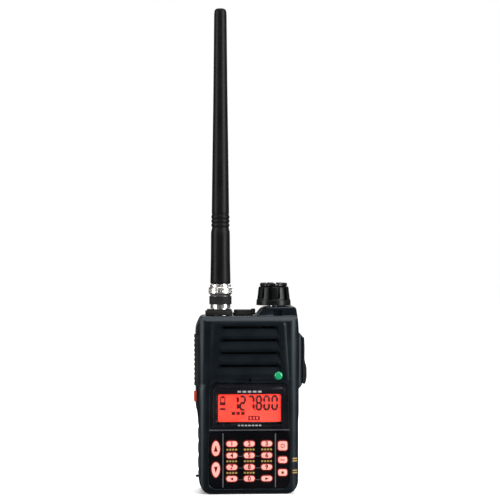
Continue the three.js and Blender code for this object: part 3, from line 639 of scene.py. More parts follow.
clear_lens = moulded("clear_lens", (0.95, 0.93, 0.92), (1, 1, 1), 0.1, spread=0.02, grain=0.01, specular=0.06)
finish_of(clear_lens).inputs["Transmission Weight"].default_value = 1
finish_of(clear_lens).inputs["IOR"].default_value = 1.15
paint(window, window_print, clear_lens)
for face in window.data.polygons:
    centre = face.center / MM
    if CLEAR_LEFT < centre.x < CLEAR_RIGHT and CLEAR_LOW < centre.z < CLEAR_HIGH:
        face.material_index = 1
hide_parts("display_window")
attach(window, "radio")

# ---- display ------------------------------------------------------------------------------------------
# Liquid crystal module in a black frame behind the window, lit orange-red from behind, with a dark red
# seven-segment frequency and a few plain marks.


def twin(piece, shift):
    """A copy with its own mesh, moved by shift millimetres."""
    copied = piece.copy()
    copied.data = piece.data.copy()
    bpy.context.collection.objects.link(copied)
    for corner in copied.data.vertices:
        corner.co += Vector(shift) * MM
    return copied


def gather(name, pieces):
    """Joins pieces into the first one."""
    pick_only(pieces[0])
    for piece in pieces:
        piece.select_set(True)
    bpy.ops.object.join()
    pieces[0].name = name
    return pieces[0]


def lit(material, strength, colour=None):
    """Makes a material shine in a colour (r, g, b), or in its own colour if none is given."""
    shader = finish_of(material)
    if colour:
        shader.inputs["Emission Color"].default_value = (*colour, 1)
    else:
        tone = shader.inputs["Base Color"].links[0].from_socket
        material.node_tree.links.new(tone, shader.inputs["Emission Color"])
    shader.inputs["Emission Strength"].default_value = strength


module = block("display_module", (-22.4, -14.0, 42.3), (22.4, -12.4, 65.5), 0.4)
screen_face = push(panel("screen_face", oblong(-19.5, 20.1, 45.2, 62.7, 1), 4), -14.15, -13.8)
lit_field = push(panel("lit_field", oblong(-19.1, 19.7, 45.6, 62.3, 0.8), 4), -14.25, -14.0)
weld(module, screen_face, lit_field)
soften(module, 0.04, 1)

screen_black = moulded("screen_black", (0.006, 0.006, 0.006), (0.01, 0.01, 0.01), 0.5)
screen_border = moulded("screen_border", (0.20, 0.006, 0.004), (0.24, 0.01, 0.006), 0.4, grain=0.02)
lit(screen_border, 0.5, (0.45, 0.02, 0.012))
screen_light = moulded(
    "screen_light", (0.88, 0.03, 0.018), (0.93, 0.045, 0.028), 0.4,
    grain=0.02, specular=0.1,
)
lit(screen_light, 0.85)
paint(module, screen_black, screen_border, screen_light)
for face in module.data.polygons:
    centre = face.center / MM
    if centre.y < -14.2:
        face.material_index = 2
    elif centre.y < -14.05:
        face.material_index = 1
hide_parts("lcd_panel")
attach(module, "radio")

SEGMENT = 1.6
DIGIT_HALF = 1.45
DIGIT_RISE = 4.1
NEAR, FAR = -14.33, -14.2


def bar(name, x, z, half_x, half_z):
    """A straight mark of the display with pointed ends along its longer way."""
    if half_x > half_z:
        shape = [(x - half_x, z), (x - half_x + half_z, z - half_z), (x + half_x - half_z, z - half_z)]
        shape += [(x + half_x, z), (x + half_x - half_z, z + half_z), (x - half_x + half_z, z + half_z)]
    else:
        shape = [(x, z - half_z), (x + half_x, z - half_z + half_x), (x + half_x, z + half_z - half_x)]
        shape += [(x, z + half_z), (x - half_x, z + half_z - half_x), (x - half_x, z - half_z + half_x)]
    return push(panel(name, shape), NEAR, FAR)


def mark(name, left, right, low, high, radius=0):
    """A squared mark of the display."""
    return push(panel(name, oblong(left, right, low, high, radius), 3), NEAR, FAR)


level = bar("level", 0, 0, DIGIT_HALF + 0.3, SEGMENT / 2)
upright = bar("upright", 0, 0, SEGMENT / 2, DIGIT_RISE / 2 - 0.1)
SEGMENT_PLACES = {
    "top": (level, 0, DIGIT_RISE),
    "middle": (level, 0, 0),
    "bottom": (level, 0, -DIGIT_RISE),
    "upper_left": (upright, -DIGIT_HALF, DIGIT_RISE / 2),
    "upper_right": (upright, DIGIT_HALF, DIGIT_RISE / 2),
    "lower_left": (upright, -DIGIT_HALF, -DIGIT_RISE / 2),
    "lower_right": (upright, DIGIT_HALF, -DIGIT_RISE / 2),
}
DIGIT_SEGMENTS = {
    "1": ["upper_right", "lower_right"],
    "2": ["top", "upper_right", "middle", "lower_left", "bottom"],
    "7": ["top", "upper_right", "lower_right"],
    "8": list(SEGMENT_PLACES),
    "0": ["top", "upper_left", "upper_right", "lower_left", "lower_right", "bottom"],
}
marks = []
for x, digit in [(-8.5, "1"), (-4.0, "2"), (1.4, "7"), (6.2, "8"), (11.0, "0"), (16.0, "0")]:
    for place in DIGIT_SEGMENTS[digit]:
        shape, dx, dz = SEGMENT_PLACES[place]
        marks.append(twin(shape, (x + dx, 0, 57.1 + dz)))
bpy.data.objects.remove(level)
bpy.data.objects.remove(upright)
marks += [
    mark("point", 3.3, 4.2, 52.4, 53.4),
    mark("battery_mark", -18.3, -14.7, 55.6, 60.9),
    mark("battery_tip", -17.3, -15.7, 60.8, 61.6),
    mark("level_mark", -18.4, -14.6, 52.6, 54.1),
    mark("small_mark", -10.9, -2.6, 49.6, 51.8),
    mark("box_mark", -0.6, 6.8, 46.2, 49.1, 0.4),
]
carve(marks[-5], block("empty", (-17.5, -15, 57.7), (-15.5, -14, 60.1)))
carve(marks[-2], *[block("gap", (x, -15, 48), (x + 0.6, -14, 53)) for x in (-8.6, -5.6)])
carve(marks[-1], *[block("gap", (x, -15, 46.9), (x + 1.1, -14, 48.4)) for x in (0.5, 2.55, 4.6)])
digits = gather("screen_marks", marks)
screen_ink = moulded("screen_ink", (0.05, 0.001, 0.001), (0.07, 0.002, 0.002), 0.5, grain=0.02)
paint(digits, screen_ink)
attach(digits, "radio")

# ---- boards, loudspeaker and sockets inside -----------------------------------------------------------
# Glass-fibre boards with green mask, a black loudspeaker and microphone behind the grille, the side
# switches, the power socket, the battery contacts and the rotary control. The loudspeaker and microphone
# are painted near-black, darker than their black plastic: painted shade seen through the slits and the hole.

board_mask = moulded(
    "board_mask", (0.006, 0.075, 0.025), (0.01, 0.12, 0.04), 0.35,
    scale=600, grain=0.3, worn=(0.5, 0.38, 0.15), wear=0.7,
)
module_black = moulded(
    "module_black", (0.012, 0.012, 0.013), (0.024, 0.024, 0.026), 0.55,
    scale=1200, grain=0.3,
)
# Near-black with almost no gloss: painted shade for the dark behind the louvre slits and the microphone hole,
# laid over the black of the parts.
speaker_black_and_shade = moulded(
    "speaker_black_and_shade", (0.0008, 0.0008, 0.0008), (0.0016, 0.0016, 0.0016), 0.85,
    scale=1500, grain=0.5, specular=0.03,
)
contact_brass = moulded(
    "contact_brass", (0.55, 0.38, 0.13), (0.68, 0.50, 0.20), 0.3,
    scale=800, grain=0.1, metallic=1,
)
shaft_steel = moulded(
    "shaft_steel", (0.45, 0.46, 0.48), (0.58, 0.59, 0.6), 0.3,
    scale=700, grain=0.12, metallic=1,
)
membrane_rubber = moulded(
    "membrane_rubber", (0.03, 0.03, 0.03), (0.05, 0.05, 0.05), 0.8,
    scale=900, grain=0.4,
)
for material, nodes in [
    (board_mask, ["control_board", "main_board", "side_switches"]),
    (speaker_black_and_shade, ["speaker", "microphone"]),
    (module_black, ["power_jack", "headset_jacks", "control_encoder"]),
    (contact_brass, ["terminal_block"]),
    (shaft_steel, ["dial_shaft", "volume_shaft", "antenna_core"]),
    (membrane_rubber, ["keypad_membrane"]),
]:
    for node in nodes:
        paint(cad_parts[node], material)

# ---- status light -------------------------------------------------------------------------------------
# Pale green polycarbonate light pipe with a domed head, pressed into its hole in the loudspeaker panel.


def turned(name, profile, centre=(0, 0, 0), sides=48, axis="z"):
    """A round solid spun about axis from profile corners [radius, height, rounding], in millimetres."""
    piece = panel(name, profile, 3)
    bpy.ops.object.mode_set(mode="OBJECT")
    piece.rotation_euler = (math.pi / 2, 0, 0)
    bpy.ops.object.transform_apply(location=False, rotation=True, scale=False)
    bpy.ops.object.mode_set(mode="EDIT")
    bpy.ops.mesh.select_all(action="SELECT")
    bpy.ops.mesh.delete(type="ONLY_FACE")
    bpy.ops.mesh.select_all(action="SELECT")
    bpy.ops.mesh.spin(steps=sides, angle=2 * math.pi, center=(0, 0, 0), axis=(0, 0, 1))
    bpy.ops.mesh.select_all(action="SELECT")
    bpy.ops.mesh.remove_doubles(threshold=2e-6)
    bpy.ops.mesh.normals_make_consistent(inside=False)
    bpy.ops.object.mode_set(mode="OBJECT")
    piece.rotation_euler = (math.pi / 2, 0, 0) if axis == "y" else (0, 0, 0)
    piece.location = Vector(centre) * MM
    bpy.ops.object.transform_apply(location=True, rotation=True, scale=False)
    return piece


DOME = [(0, 0), (2.65, 0), (2.65, 2.2, 0.5), (1.9, 3.0, 0.8), (0, 3.2)]
led = turned("status_light", DOME, (LED[0], -14.5, LED[1]), 40, "y")
soften(led, 0.06, 2)
green_lens = moulded(
    "green_lens", (0.002, 0.12, 0.045), (0.006, 0.18, 0.07), 0.12,
    spread=0.04, scale=300, grain=0.06,
)
lit(green_lens, 0.03, (0.02, 0.5, 0.18))
finish_of(green_lens).inputs["Coat Weight"].default_value = 0.8
paint(led, green_lens)
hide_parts("led_lens")
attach(led, "radio")

# ---- keypad bezel -------------------------------------------------------------------------------------
# Glossy black moulded panel with a hole for each key. A sunk step round every hole glows dark red from the
# light below, two grey ribs part the columns, and small gold dashes stand between the rows.


def rounded_box(half_x, half_z, radius):
    """Outline of a key as a function of how much it is grown."""
    sides = [(-1, -1), (1, -1), (1, 1), (-1, 1)]
    return lambda grow=0: [(x * (half_x + grow), z * (half_z + grow), radius + grow) for x, z in sides]


def egg(point):
    """Egg outline; point is 1 with its narrow end up and -1 with it down."""
    angles = [2 * math.pi * i / 36 for i in range(36)]
    return lambda grow=0: [
        ((2.8 + grow) * math.cos(a) * (1 - 0.12 * point * math.sin(a)), (4.95 + grow) * math.sin(a))
        for a in angles
    ]


pill = rounded_box(3.65, 1.95, 1.9)
square_key = rounded_box(3.15, 3.15, 1.6)
small_key = rounded_box(3.05, 2.25, 1.5)
KEY_FORMS = {f"key_{label}": pill for label in [*"123456789", "left", "0", "right"]}
KEY_FORMS.update(key_up=egg(1), key_down=egg(-1), key_function=square_key)
KEY_FORMS.update(key_memory=small_key, key_enter=small_key)
KEYS = {name: (form, *middle(name)) for name, form in KEY_FORMS.items()}


def at(corners, x, z):
    return [(c[0] + x, c[1] + z, *c[2:]) for c in corners]


def round_keys(name, grow, depth):
    """Cutters round all the keys, each grown past its key by grow millimetres."""
    cutters = [push(panel(name, at(form(grow), x, z)), -18, depth) for form, x, z in KEYS.values()]
    return gather(name, cutters)


bezel = push(panel("keypad_panel", cut_cornered(25.1, 3.9, 39.7, 2.5, 4.2, 0.6), 5), -16.3, -14.9)
soften(bezel, 0.25)
carve(bezel, round_keys("steps", 0.6, -16.1))
carve(bezel, round_keys("holes", 0.25, -13))
bezel_gloss = moulded(
    "bezel_gloss", (0.0012, 0.0012, 0.0016), (0.0022, 0.0022, 0.0028), 0.22,
    spread=0.05, scale=1500, grain=0.05, specular=0.06,
)
halo_red = moulded("halo_red", (0.03, 0.0015, 0.001), (0.05, 0.0025, 0.002), 0.5, grain=0.05)
lit(halo_red, 0.06, (0.4, 0.02, 0.015))
paint(bezel, bezel_gloss, halo_red)
for face in bezel.data.polygons:
    centre = face.center / MM
    if abs(centre.y + 16.1) < 0.01 and abs(face.normal.y) > 0.9:
        face.material_index = 1
smooth(bezel, 40)
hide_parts("keypad_bezel")
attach(bezel, "radio")

rib_grey = moulded("rib_grey", (0.035, 0.037, 0.04), (0.055, 0.057, 0.06), 0.45, scale=1200)
ribs = []
for x in (-16.4, 16.4):
    ribs.append(soften(block("rib", (x - 0.35, -16.68, 4.6), (x + 0.35, -16.0, 38.4)), 0.12, 2))
for x in (-5.45, 5.45):
    for z in (24.1, 16.7, 9.4):
        ribs.append(block("row_line", (x - 1.5, -16.4, z - 0.17), (x + 1.5, -16.2, z + 0.17)))
ribs = gather("keypad_ribs", ribs)
paint(ribs, rib_grey)
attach(ribs, "radio")

gold_print = moulded("gold_print", (0.17, 0.11, 0.025), (0.26, 0.17, 0.045), 0.45, scale=900)


def dash(x, z, half_x, half_z):
    """A printed dash on the bezel or the window."""
    return push(panel("dash", oblong(x - half_x, x + half_x, z - half_z, z + half_z)), -16.36, -16.25)


LEGENDS = [(x, z) for z in (28.25, 20.95, 13.7) for x in (-10.9, 0, 10.9)][:-1]
dashes = [dash(x + dx, z, 0.6, 0.55) for x, z in LEGENDS for dx in (-2.7, -0.9, 0.9, 2.7)]
dashes = gather("keypad_dashes", dashes)
paint(dashes, gold_print)
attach(dashes, "radio")

# Two rows of plain silver marks are printed on the window, above and below the display.
silver_print = moulded("silver_print", (0.15, 0.15, 0.155), (0.24, 0.24, 0.245), 0.4, scale=900)
window_marks = [dash(0.2 + 3.2 * i, 64.4, 1.1, 0.55) for i in range(-2, 3)]
window_marks += [dash(0.2 + 2.2 * i, 43.3, 0.7, 0.42) for i in range(-3, 4)]
window_marks = gather("window_marks", window_marks)
paint(window_marks, silver_print)
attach(window_marks, "radio")

# The two small marks of the side keys are printed on the curved right shoulder beside them.
shoulder_marks = []
for z in (21.6, 14.2):
    for dz in (-0.75, 0.75):
        stripe = push(panel("shoulder_mark", oblong(27.2, 30.2, z + dz - 0.4, z + dz + 0.4)), -18, -11)
        keep_common(stripe, casing("skin", -17, 1, -0.05))
        shoulder_marks.append(carve(stripe, casing("core", -18, 2, 0.03)))
shoulder_marks = gather("shoulder_marks", shoulder_marks)
paint(shoulder_marks, gold_print)
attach(shoulder_marks, "radio")

# A thin raised ridge along the top edge of the keypad panel. Its pale grey is a painted highlight of that
# edge, laid on the real ridge.
ridge_highlight = soften(block("keypad_ridge", (-25.2, -16.75, 40.15), (25.2, -16.3, 40.65)), 0.12, 2)
paint(ridge_highlight, rib_grey)
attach(ridge_highlight, "radio")

# ---- keys ---------------------------------------------------------------------------------------------
# Seventeen salmon pink silicone keys on one sheet, lit from below, each with a crowned face and a dark red
# printed digit, arrow or plain mark. The outer slope, sides and lip of each key are a darker red that does not
# glow: painted shade on the same pink rubber.

key_rubber = moulded(
    "key_rubber", (0.66, 0.19, 0.165), (0.76, 0.25, 0.215), 0.42,
    spread=0.05, scale=900, grain=0.12,
)
lit(key_rubber, 0.22)
key_ink = moulded("key_ink", (0.04, 0.002, 0.002), (0.06, 0.004, 0.004), 0.5, grain=0.05)
# Darker red without glow for the outer slope, sides and lip of each key: painted shade on the same rubber.
key_edge = moulded("key_edge", (0.17, 0.014, 0.012), (0.24, 0.022, 0.018), 0.45, scale=900, grain=0.12)


def shifted(piece, shift):
    """Moves a piece's mesh by shift millimetres."""
    for corner in piece.data.vertices:
        corner.co += Vector(shift) * MM
    return piece


def printed_digit(label):
    """A digit of the default lettering, as a thin solid on a key's face."""
    pick_only(case)
    bpy.ops.object.text_add(location=(0, 0, 0))
    letter = bpy.context.object
    letter.data.body = label
    letter.data.size = 3.7 * MM
    letter.data.extrude = 0.03 * MM
    letter.data.offset = 0.14 * MM
    letter.data.align_x = "CENTER"
    letter.data.align_y = "CENTER"
    bpy.ops.object.convert(target="MESH")
    letter.rotation_euler = (math.pi / 2, 0, 0)
    bpy.ops.object.transform_apply(location=False, rotation=True, scale=False)
    return shifted(letter, (0, -17.2, 0))


def print_on_key(corners):
    """A mark with these corners, as a thin solid on a key's face."""
    return push(panel("print", corners), -17.23, -17.15)


def printed_ring():
    ring = drum("ring", 1.3, -17.23, -17.15, (0, 0), "y", 28)
    return carve(ring, drum("gap", 0.85, -18, -17, (0, 0), "y", 28))


MARKS = {
    "key_left": lambda: print_on_key([(-1.3, 0), (0.9, -1.0), (0.9, 1.0)]),
    "key_right": lambda: print_on_key([(1.3, 0), (-0.9, 1.0), (-0.9, -1.0)]),
    "key_up": lambda: print_on_key([(-1.25, -2.0), (1.25, -2.0), (0, 2.2)]),
    "key_down": lambda: print_on_key([(-1.25, 2.0), (0, -2.2), (1.25, 2.0)]),
    "key_function": printed_ring,
    "key_memory": lambda: print_on_key(oblong(-1.4, 1.4, -0.3, 0.3)),
    "key_enter": lambda: print_on_key(oblong(-0.8, 0.8, -0.8, 0.8)),
}
for name, (form, x, z) in KEYS.items():
    cap = push(panel("cap", form(), 6), -16.85, -14.6)
    pick_front(cap)
    bpy.ops.mesh.inset(thickness=0.36 * MM, depth=0.2 * MM)
    bpy.ops.mesh.inset(thickness=0.4 * MM, depth=0.15 * MM)
    bpy.ops.object.mode_set(mode="OBJECT")
    key = weld(cap, push(panel("lip", form(0.45), 4), -14.6, -14.2))
    pick_only(key)
    bpy.ops.object.shade_smooth_by_angle(angle=math.radians(50))
    paint(key, key_rubber, key_edge)
    # The faces nearest the bezel, the outer slope, sides and lip, take the painted shade.
    for face in key.data.polygons:
        if face.center.y > -16.97 * MM:
            face.material_index = 1
    legend = MARKS[name]() if name in MARKS else printed_digit(name.removeprefix("key_"))
    paint(legend, key_ink)
    key = gather("pressed_" + name, [key, legend])
    shifted(key, (x, 0, z))
    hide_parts(name)
    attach(key, name)

# ---- talk button --------------------------------------------------------------------------------------
# Long soft rubber pad on the left flank over the talk switch, with ten cross grooves for the thumb. A rim
# inside the wall keeps it in the case.

TALK = [(-34, -2.2, 0.8), (-34, -8.6, 2.5), (-31.4, -12.2, 0.8), (-30.5, -12.2), (-30.5, -2.2)]
talk = push(panel("talk_pad", TALK, 5), 67.8, 99.8, "z")
soften(talk, 0.7, 3)
GROOVES = [70.4 + 2.98 * i for i in range(10)]
grooves = [push(panel("groove", [(-35, z - 1.3), (-35, z + 1.3), (-33.2, z)]), -14, 0) for z in GROOVES]
carve(talk, gather("grooves", grooves))
weld(talk, block("rim", (-30.6, -8.6, 66.9), (-29.8, -2.9, 100.7)))
soften(talk, 0.12, 2)
grip_rubber = moulded(
    "grip_rubber", (0.0045, 0.005, 0.0055), (0.009, 0.0095, 0.01), 0.62,
    scale=1600, grain=0.45, specular=0.14,
)
paint(talk, grip_rubber)
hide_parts("ptt_button")
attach(talk, "ptt")

# ---- orange button ------------------------------------------------------------------------------------
# Small orange rubber button below the talk pad, crowned, with the same inner rim.

monitor = push(panel("orange_cap", oblong(-9.6, -3.4, 57.6, 64.4, 1.5), 5), -34.2, -30.5, "x")
soften(monitor, 0.6, 3)
weld(monitor, block("rim", (-30.6, -8.6, 56.7), (-29.8, -2.9, 65.3)))
monitor.name = "orange_button"
button_orange = moulded("button_orange", (0.36, 0.03, 0.012), (0.46, 0.05, 0.02), 0.5, scale=1200, grain=0.3)
paint(monitor, button_orange)
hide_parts("monitor_button")
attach(monitor, "monitor")

# ---- power socket door --------------------------------------------------------------------------------
# Rubber door over the power socket on the right flank, hinged on its back edge. Its lower half stands
# further out, for a finger nail.

DOOR = [
    (34.4, 97.8, 0.3), (34.4, 68.4, 0.3), (35.7, 68.1, 0.8), (36.9, 71.2, 2),
    (36.9, 79.2, 1.6), (35.6, 82.6, 1.6), (35.6, 94.2, 4), (35.2, 97.8, 0.6),
]
door = push(panel("door", DOOR, 6), -7.4, 0.2, "y")
carve(door, *[block("nail_groove", (36.55, -6, z), (37.5, -1.2, z + 0.8)) for z in (70.4, 72.4, 74.4)])
soften(door, 0.35, 3)
door.name = "power_socket_door"
paint(door, grip_rubber)
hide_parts("power_door")
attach(door, "power_cover")

# ---- headset cover ------------------------------------------------------------------------------------
# Rubber cover of the two headset sockets: a rounded bar with a flat rim, two pegs below, a pull tab at its
# right end and a tether along its back edge.

cover = block("headset_rim", (-9.4, -4.7, 111.7), (3.4, 4.7, 113.2), 3, 6)
soften(cover, 0.35, 3)
weld(cover, soften(block("lobe", (-8.7, -4.0, 113.0), (2.7, 4.0, 115.0), 2.8, 6), 0.6, 3))
weld(cover, soften(turned("tab", [(0, 0), (1.4, 0), (1.4, 3.6, 0.5), (0, 3.6)], (3.3, -2.2, 112.1), 24), 0.1))
weld(
    cover,
    turned("peg", [(0, 0), (1.25, 0, 0.3), (1.25, 1.4), (0, 1.4)], (-6.1, 0, 110.5), 24),
    turned("peg", [(0, 0), (0.75, 0, 0.2), (0.75, 1.4), (0, 1.4)], (0.4, 0, 110.5), 24),
    block("tether", (-6, 4.3, 111.7), (0, 6.3, 112.7), 0.3),
)
pick_only(cover)
bpy.ops.object.shade_smooth_by_angle(angle=math.radians(40))
cover.name = "headset_cap"
paint(cover, gasket_rubber)
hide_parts("jack_cover")
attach(cover, "headset_cover")

# ---- knobs --------------------------------------------------------------------------------------------
# Two moulded nylon knobs on one axis: an outer ring knob with twelve deep grooves, and a smaller crown
# knob inside it whose rim is notched. Each is pushed on its own shaft.


def ringed(cutter, count, centre, start=0.0):
    """Copies of a cutter set round an upright axis, joined into one."""
    copies = []
    for i in range(count):
        angle = start + 2 * math.pi * i / count
        copied = twin(cutter, (0, 0, 0))
        for corner in copied.data.vertices:
            x, y = corner.co.x, corner.co.y
            corner.co.x = x * math.cos(angle) - y * math.sin(angle) + centre[0] * MM
            corner.co.y = x * math.sin(angle) + y * math.cos(angle) + centre[1] * MM
        copies.append(copied)
    bpy.data.objects.remove(cutter)
    return gather("cutters", copies)


KNOB_FOOT = (*KNOBS, 117.8)
DIAL = [
    (0, 0), (10.9, 0, 0.3), (10.75, 3.2, 0.4), (10.3, 3.8, 0.2), (9.5, 11, 0.4), (9.1, 11.8, 0.4), (0, 11.8),
]
dial = soften(turned("dial_ring", DIAL, KNOB_FOOT, 72), 0.25, 2)
carve(
    dial,
    turned("well", [(0, 4.9), (6.9, 4.9), (6.9, 13), (0, 13)], KNOB_FOOT, 48),
    turned("bore", [(0, -1), (3.4, -1), (3.4, 6), (0, 6)], KNOB_FOOT, 40),
    ringed(block("flute", (8.4, -1.25, 121.3), (13, 1.25, 131), 0), 6, KNOBS, math.pi / 12),
    ringed(block("flute", (8.6, -0.9, 122.2), (13, 0.9, 131), 0), 6, KNOBS, math.pi / 12 + math.pi / 6),
)
soften(dial, 0.18, 2)
knob_plastic = moulded(
    "knob_plastic", (0.0018, 0.002, 0.0023), (0.0035, 0.0038, 0.0042), 0.34,
    scale=2200, worn=(0.02, 0.02, 0.02), wear=0.35, specular=0.14,
)
paint(dial, knob_plastic)
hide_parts("dial_knob")
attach(dial, "dial_control")

CROWN = [
    (0, 5.2), (6.5, 5.2), (6.5, 11.9), (8.0, 11.95), (8.7, 12.2, 0.2), (8.4, 14.1, 0.4),
    (6.9, 14.1), (6.7, 12.8), (2.2, 12.8), (1.6, 13.4, 0.3), (0, 13.5),
]
crown = soften(turned("crown_knob", CROWN, KNOB_FOOT, 72), 0.2, 2)
carve(
    crown,
    ringed(block("notch", (6.4, -0.9, 130.3), (12, 0.9, 136), 0), 9, KNOBS),
    turned("bore", [(0, 4), (1.75, 4), (1.75, 11), (0, 11)], KNOB_FOOT, 32),
)
soften(crown, 0.15, 2)
paint(crown, knob_plastic)
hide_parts("volume_knob")
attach(crown, "volume_control")

# ---- antenna plinth -----------------------------------------------------------------------------------
# Square-shouldered rubber seal between the top of the case and the antenna collar.

plinth = soften(block("antenna_plinth", (-26.7, -7.5, 111.7), (-9.7, 8.3, 114.4), 4.5, 6), 0.4, 2)
weld(plinth, soften(block("plinth_top", (-25.7, -6.9, 114.2), (-10.1, 7.7, 115.3), 5, 6), 0.35, 2))
carve(plinth, drum("bore", 5.2, 110, 118, ANTENNA))
smooth(plinth)
paint(plinth, gasket_rubber)
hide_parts("antenna_seal")
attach(plinth, "radio")

# ---- antenna collar -----------------------------------------------------------------------------------
# Nickel plated brass coupling ring: a notched foot, a smooth neck, a knurled ring that the fingers turn, and
# a notched top. A black band round the middle marks the locked place.

COLLAR = (*ANTENNA, 111.4)
SLEEVE = [
    (4.9, 19.4), (6.6, 19.4, 0.15), (6.6, 17.9), (7.5, 17.4, 0.15), (7.5, 14.0, 0.15), (6.7, 13.4),
    (6.35, 12.4), (6.35, 11.9), (6.3, 7.4), (6.3, 4.4, 0.2), (5.75, 4.4), (5.75, 16.2), (4.9, 16.6),
]
collar = turned("coupling_ring", SLEEVE, COLLAR, 72)
carve(
    collar,
    ringed(block("knurl", (7.22, -0.17, 125.6), (8.5, 0.17, 128.7), 0), 40, COLLAR),
    ringed(block("foot_notch", (6.0, -0.75, 115), (9, 0.75, 118), 0), 8, COLLAR, 0.2),
    ringed(block("top_notch", (6.2, -0.7, 129.5), (9, 0.7, 132), 0), 8, COLLAR, 0.1),
)
soften(collar, 0.08, 1, 40)
connector_nickel = moulded(
    "connector_nickel", (0.50, 0.49, 0.465), (0.66, 0.645, 0.62), 0.28,
    spread=0.07, scale=700, grain=0.08, worn=(0.5, 0.42, 0.28), wear=0.25, metallic=1,
)
paint(collar, connector_nickel)
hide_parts("antenna_collar")
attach(collar, "collar")

BAND = [(6.28, 7.0), (7.05, 7.0, 0.25), (7.05, 12.1, 0.25), (6.28, 12.1)]
band = smooth(turned("collar_band", BAND, COLLAR, 72))
paint(band, gasket_rubber)
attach(band, "collar")
for node in ["antenna_jack", "antenna_plug"]:
    paint(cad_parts[node], connector_nickel)

# ---- antenna whip -------------------------------------------------------------------------------------
# Flexible whip in moulded black rubber: a straight boot, three flex rings and a long taper to a round tip.

WHIP = [(4.8, 19.8), (6.1, 19.8, 0.3), (6.4, 20.8, 0.4), (6.1, 35), (5.95, 52.6, 0.6), (5.45, 54.6, 0.3)]
for ring in range(3):
    WHIP += [(5.3, 55.6 + 2.6 * ring, 0.2), (5.75, 56.3 + 2.6 * ring, 0.3), (5.75, 57.4 + 2.6 * ring, 0.3)]
WHIP += [(5.3, 63.4, 0.2), (5.5, 64.6, 0.6), (5.2, 88), (4.9, 110), (4.6, 130), (4.35, 150), (4.15, 170)]
WHIP += [(3.95, 190.4, 1), (3.5, 192.7, 0.6), (2.3, 193.5, 0.6), (0, 193.6)]
WHIP += [(0, 185), (1.9, 185), (1.9, 27), (3.3, 26.3), (3.3, 23.7), (4.8, 23.3)]
whip = turned("rubber_whip", WHIP, COLLAR, 64)
smooth(whip)
whip_rubber = moulded(
    "whip_rubber", (0.0016, 0.0016, 0.002), (0.0034, 0.0034, 0.004), 0.42,
    scale=1300, grain=0.3, specular=0.1,
)
paint(whip, whip_rubber)
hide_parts("antenna_whip")
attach(whip, "antenna")

# ---- battery ------------------------------------------------------------------------------------------
# Lithium pack in a moulded case that forms the back of the radio. Five thumb notches are moulded into each
# flank, a plain label is let into its back, and its inner face is closed by a flat lid.

pack = casing("battery_shell", 6.9, 17)
keep_common(pack, block("below", (-45, 0, -5), (45, 20, 91)))
soften(pack, 0.45, 3)
carve(pack, block("hollow", (-27.3, 0, 7.8), (27.3, 15, 89)))
notches = []
for side in (-1, 1):
    notches += [drum("notch", 2.2, 0, 20, (side * 32.2, 12.6 + 9.2 * i), "y", 24) for i in range(5)]
carve(pack, gather("notches", notches), block("label_recess", (-19, 16.1, 14), (19, 18, 38), 0))
step = block("step", (-40, 9.2, -1), (40, 17.5, 10.4))
carve(step, push(panel("inner", front_view(3), 6), 0, 19))
carve(
    pack,
    step,
    push(panel("ramp", [(12, -1), (17.5, -1), (17.5, 4.9), (12, 2.5)]), -35, 35, "x"),
    block("tongue_room", (-12.5, 0, -1), (12.5, 10, 2.6)),
)
carve(pack, *[block("grip_line", (-14, 16.1, z), (14, 18, z + 1)) for z in (42, 44.2, 46.4, 48.6)])
smooth(pack, 40)
battery_plastic = moulded(
    "battery_plastic", (0.0035, 0.0045, 0.006), (0.0065, 0.008, 0.0095), 0.5,
    scale=2400, worn=(0.08, 0.085, 0.09), wear=0.4, specular=0.3,
)
paint(pack, battery_plastic)
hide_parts("battery_case")
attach(pack, "battery")
paint(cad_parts["battery_lid"], battery_plastic)

cell_wrap = moulded("cell_wrap", (0.02, 0.07, 0.22), (0.03, 0.10, 0.30), 0.4, scale=500, grain=0.1)
paint(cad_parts["battery_cells"], cell_wrap)

label = push(panel("plain_label", oblong(-18.6, 18.6, 14.4, 37.6, 0.8), 4), 16.1, 16.3)
soften(label, 0.05, 1)
label_film = moulded("label_film", (0.20, 0.205, 0.21), (0.25, 0.255, 0.26), 0.4, scale=800, grain=0.1)
paint(label, label_film)
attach(label, "battery")

# ---- battery latch ------------------------------------------------------------------------------------
# U-shaped nylon latch in a step under the pack. It turns on two nubs that stand out of the flanks, and its
# tongue hooks under the chassis.


LATCH_PIVOT = (12, 8.4)


def latch_ring(name, y0, y1, top):
    """A band of the latch that follows the casing's outline, up to the height top."""
    ring = push(panel(name, front_view(0.5), 6), y0, y1)
    carve(ring, push(panel("inner", front_view(2.2), 6), y0 - 1, y1 + 1))
    return keep_common(ring, block("below", (-40, 0, 0), (40, 20, top)))


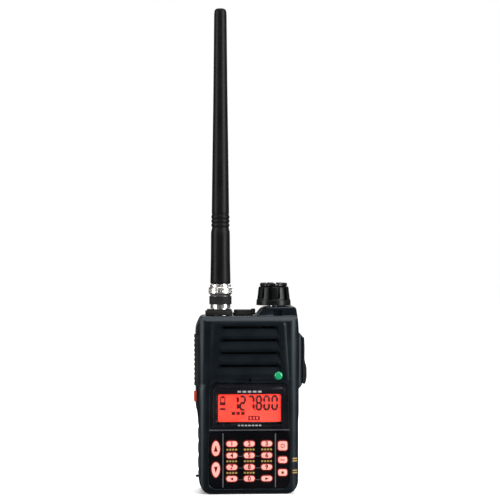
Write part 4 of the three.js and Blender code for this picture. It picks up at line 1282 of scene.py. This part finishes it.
latch = latch_ring("release_latch", 9.6, 16, 4.2)
weld(latch, latch_ring("arms", 10.4, 13.6, 8.4))
weld(latch, block("tongue", (-12, 5.8, 0.5), (12, 10, 2.2), 0.6))
for side in (-1, 1):
    weld(
        latch,
        drum("eye", 1.6, *sorted((side * 28.8, side * 30.5)), LATCH_PIVOT, "x", 28),
        drum("nub", 0.85, *sorted((side * 29, side * 32.5)), LATCH_PIVOT, "x", 20),
    )
soften(latch, 0.15, 2)
latch_plastic = moulded("latch_plastic", (0.008, 0.008, 0.009), (0.013, 0.013, 0.014), 0.4, scale=1800)
paint(latch, latch_plastic)
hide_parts("battery_latch")
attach(latch, "latch")

# ---- belt clip ----------------------------------------------------------------------------------------
# Sprung clip on the back: a cast bracket with two ears, a steel pin with a torsion spring round it, and a
# moulded arm with a thumb pad above the pin and a long leg that turns in at its tip.

CLIP_PIN = (18.6, 101)
EAR = [(15.6, 96.5), (20.8, 98.4, 1.8), (20.8, 103.6, 1.8), (15.6, 105.5)]
bracket = push(panel("clip_plate", oblong(-12.5, 12.5, 94, 107, 2), 4), 14, 15.8)
for x in (-12, 10):
    weld(bracket, push(panel("ear", EAR, 5), x, x + 2, "x"))
carve(bracket, drum("pin_hole", 1.25, -14, 14, CLIP_PIN, "x", 28))
soften(bracket, 0.2, 2)
paint(bracket, chassis_paint)
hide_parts("clip_bracket")
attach(bracket, "radio")

LEG = [
    (16.8, 104.4, 1), (20.8, 111.3, 1), (22.6, 110.8, 0.8), (22.3, 101, 2), (24.4, 87, 6), (23, 47, 5),
    (20.6, 41, 1), (18.2, 42, 0.8), (17, 46, 0.8), (21.4, 51, 4), (22.4, 87, 6), (16.8, 98, 2),
]
arm = push(panel("clip_arm", LEG, 5), -9.5, 9.5, "x")
TAPER = [(-9.5, 112, 3), (-9.5, 92, 8), (-7.6, 41, 3), (7.6, 41, 3), (9.5, 92, 8), (9.5, 112, 3)]
keep_common(arm, push(panel("taper", TAPER, 6), 10, 30))
carve(
    arm,
    drum("pin_hole", 1.35, -14, 14, CLIP_PIN, "x", 28),
    block("coil_room", (-3.2, 15, 97.6), (3.2, 21.4, 104.8)),
    *[block("grip", (-6, 21.6, z), (6, 24, z + 0.7)) for z in (104.8, 106.4, 108)],
)
soften(arm, 0.3, 2)
paint(arm, latch_plastic)
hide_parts("belt_clip")
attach(arm, "clip")
for node in ["clip_pin", "clip_spring"]:
    paint(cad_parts[node], screw_steel)
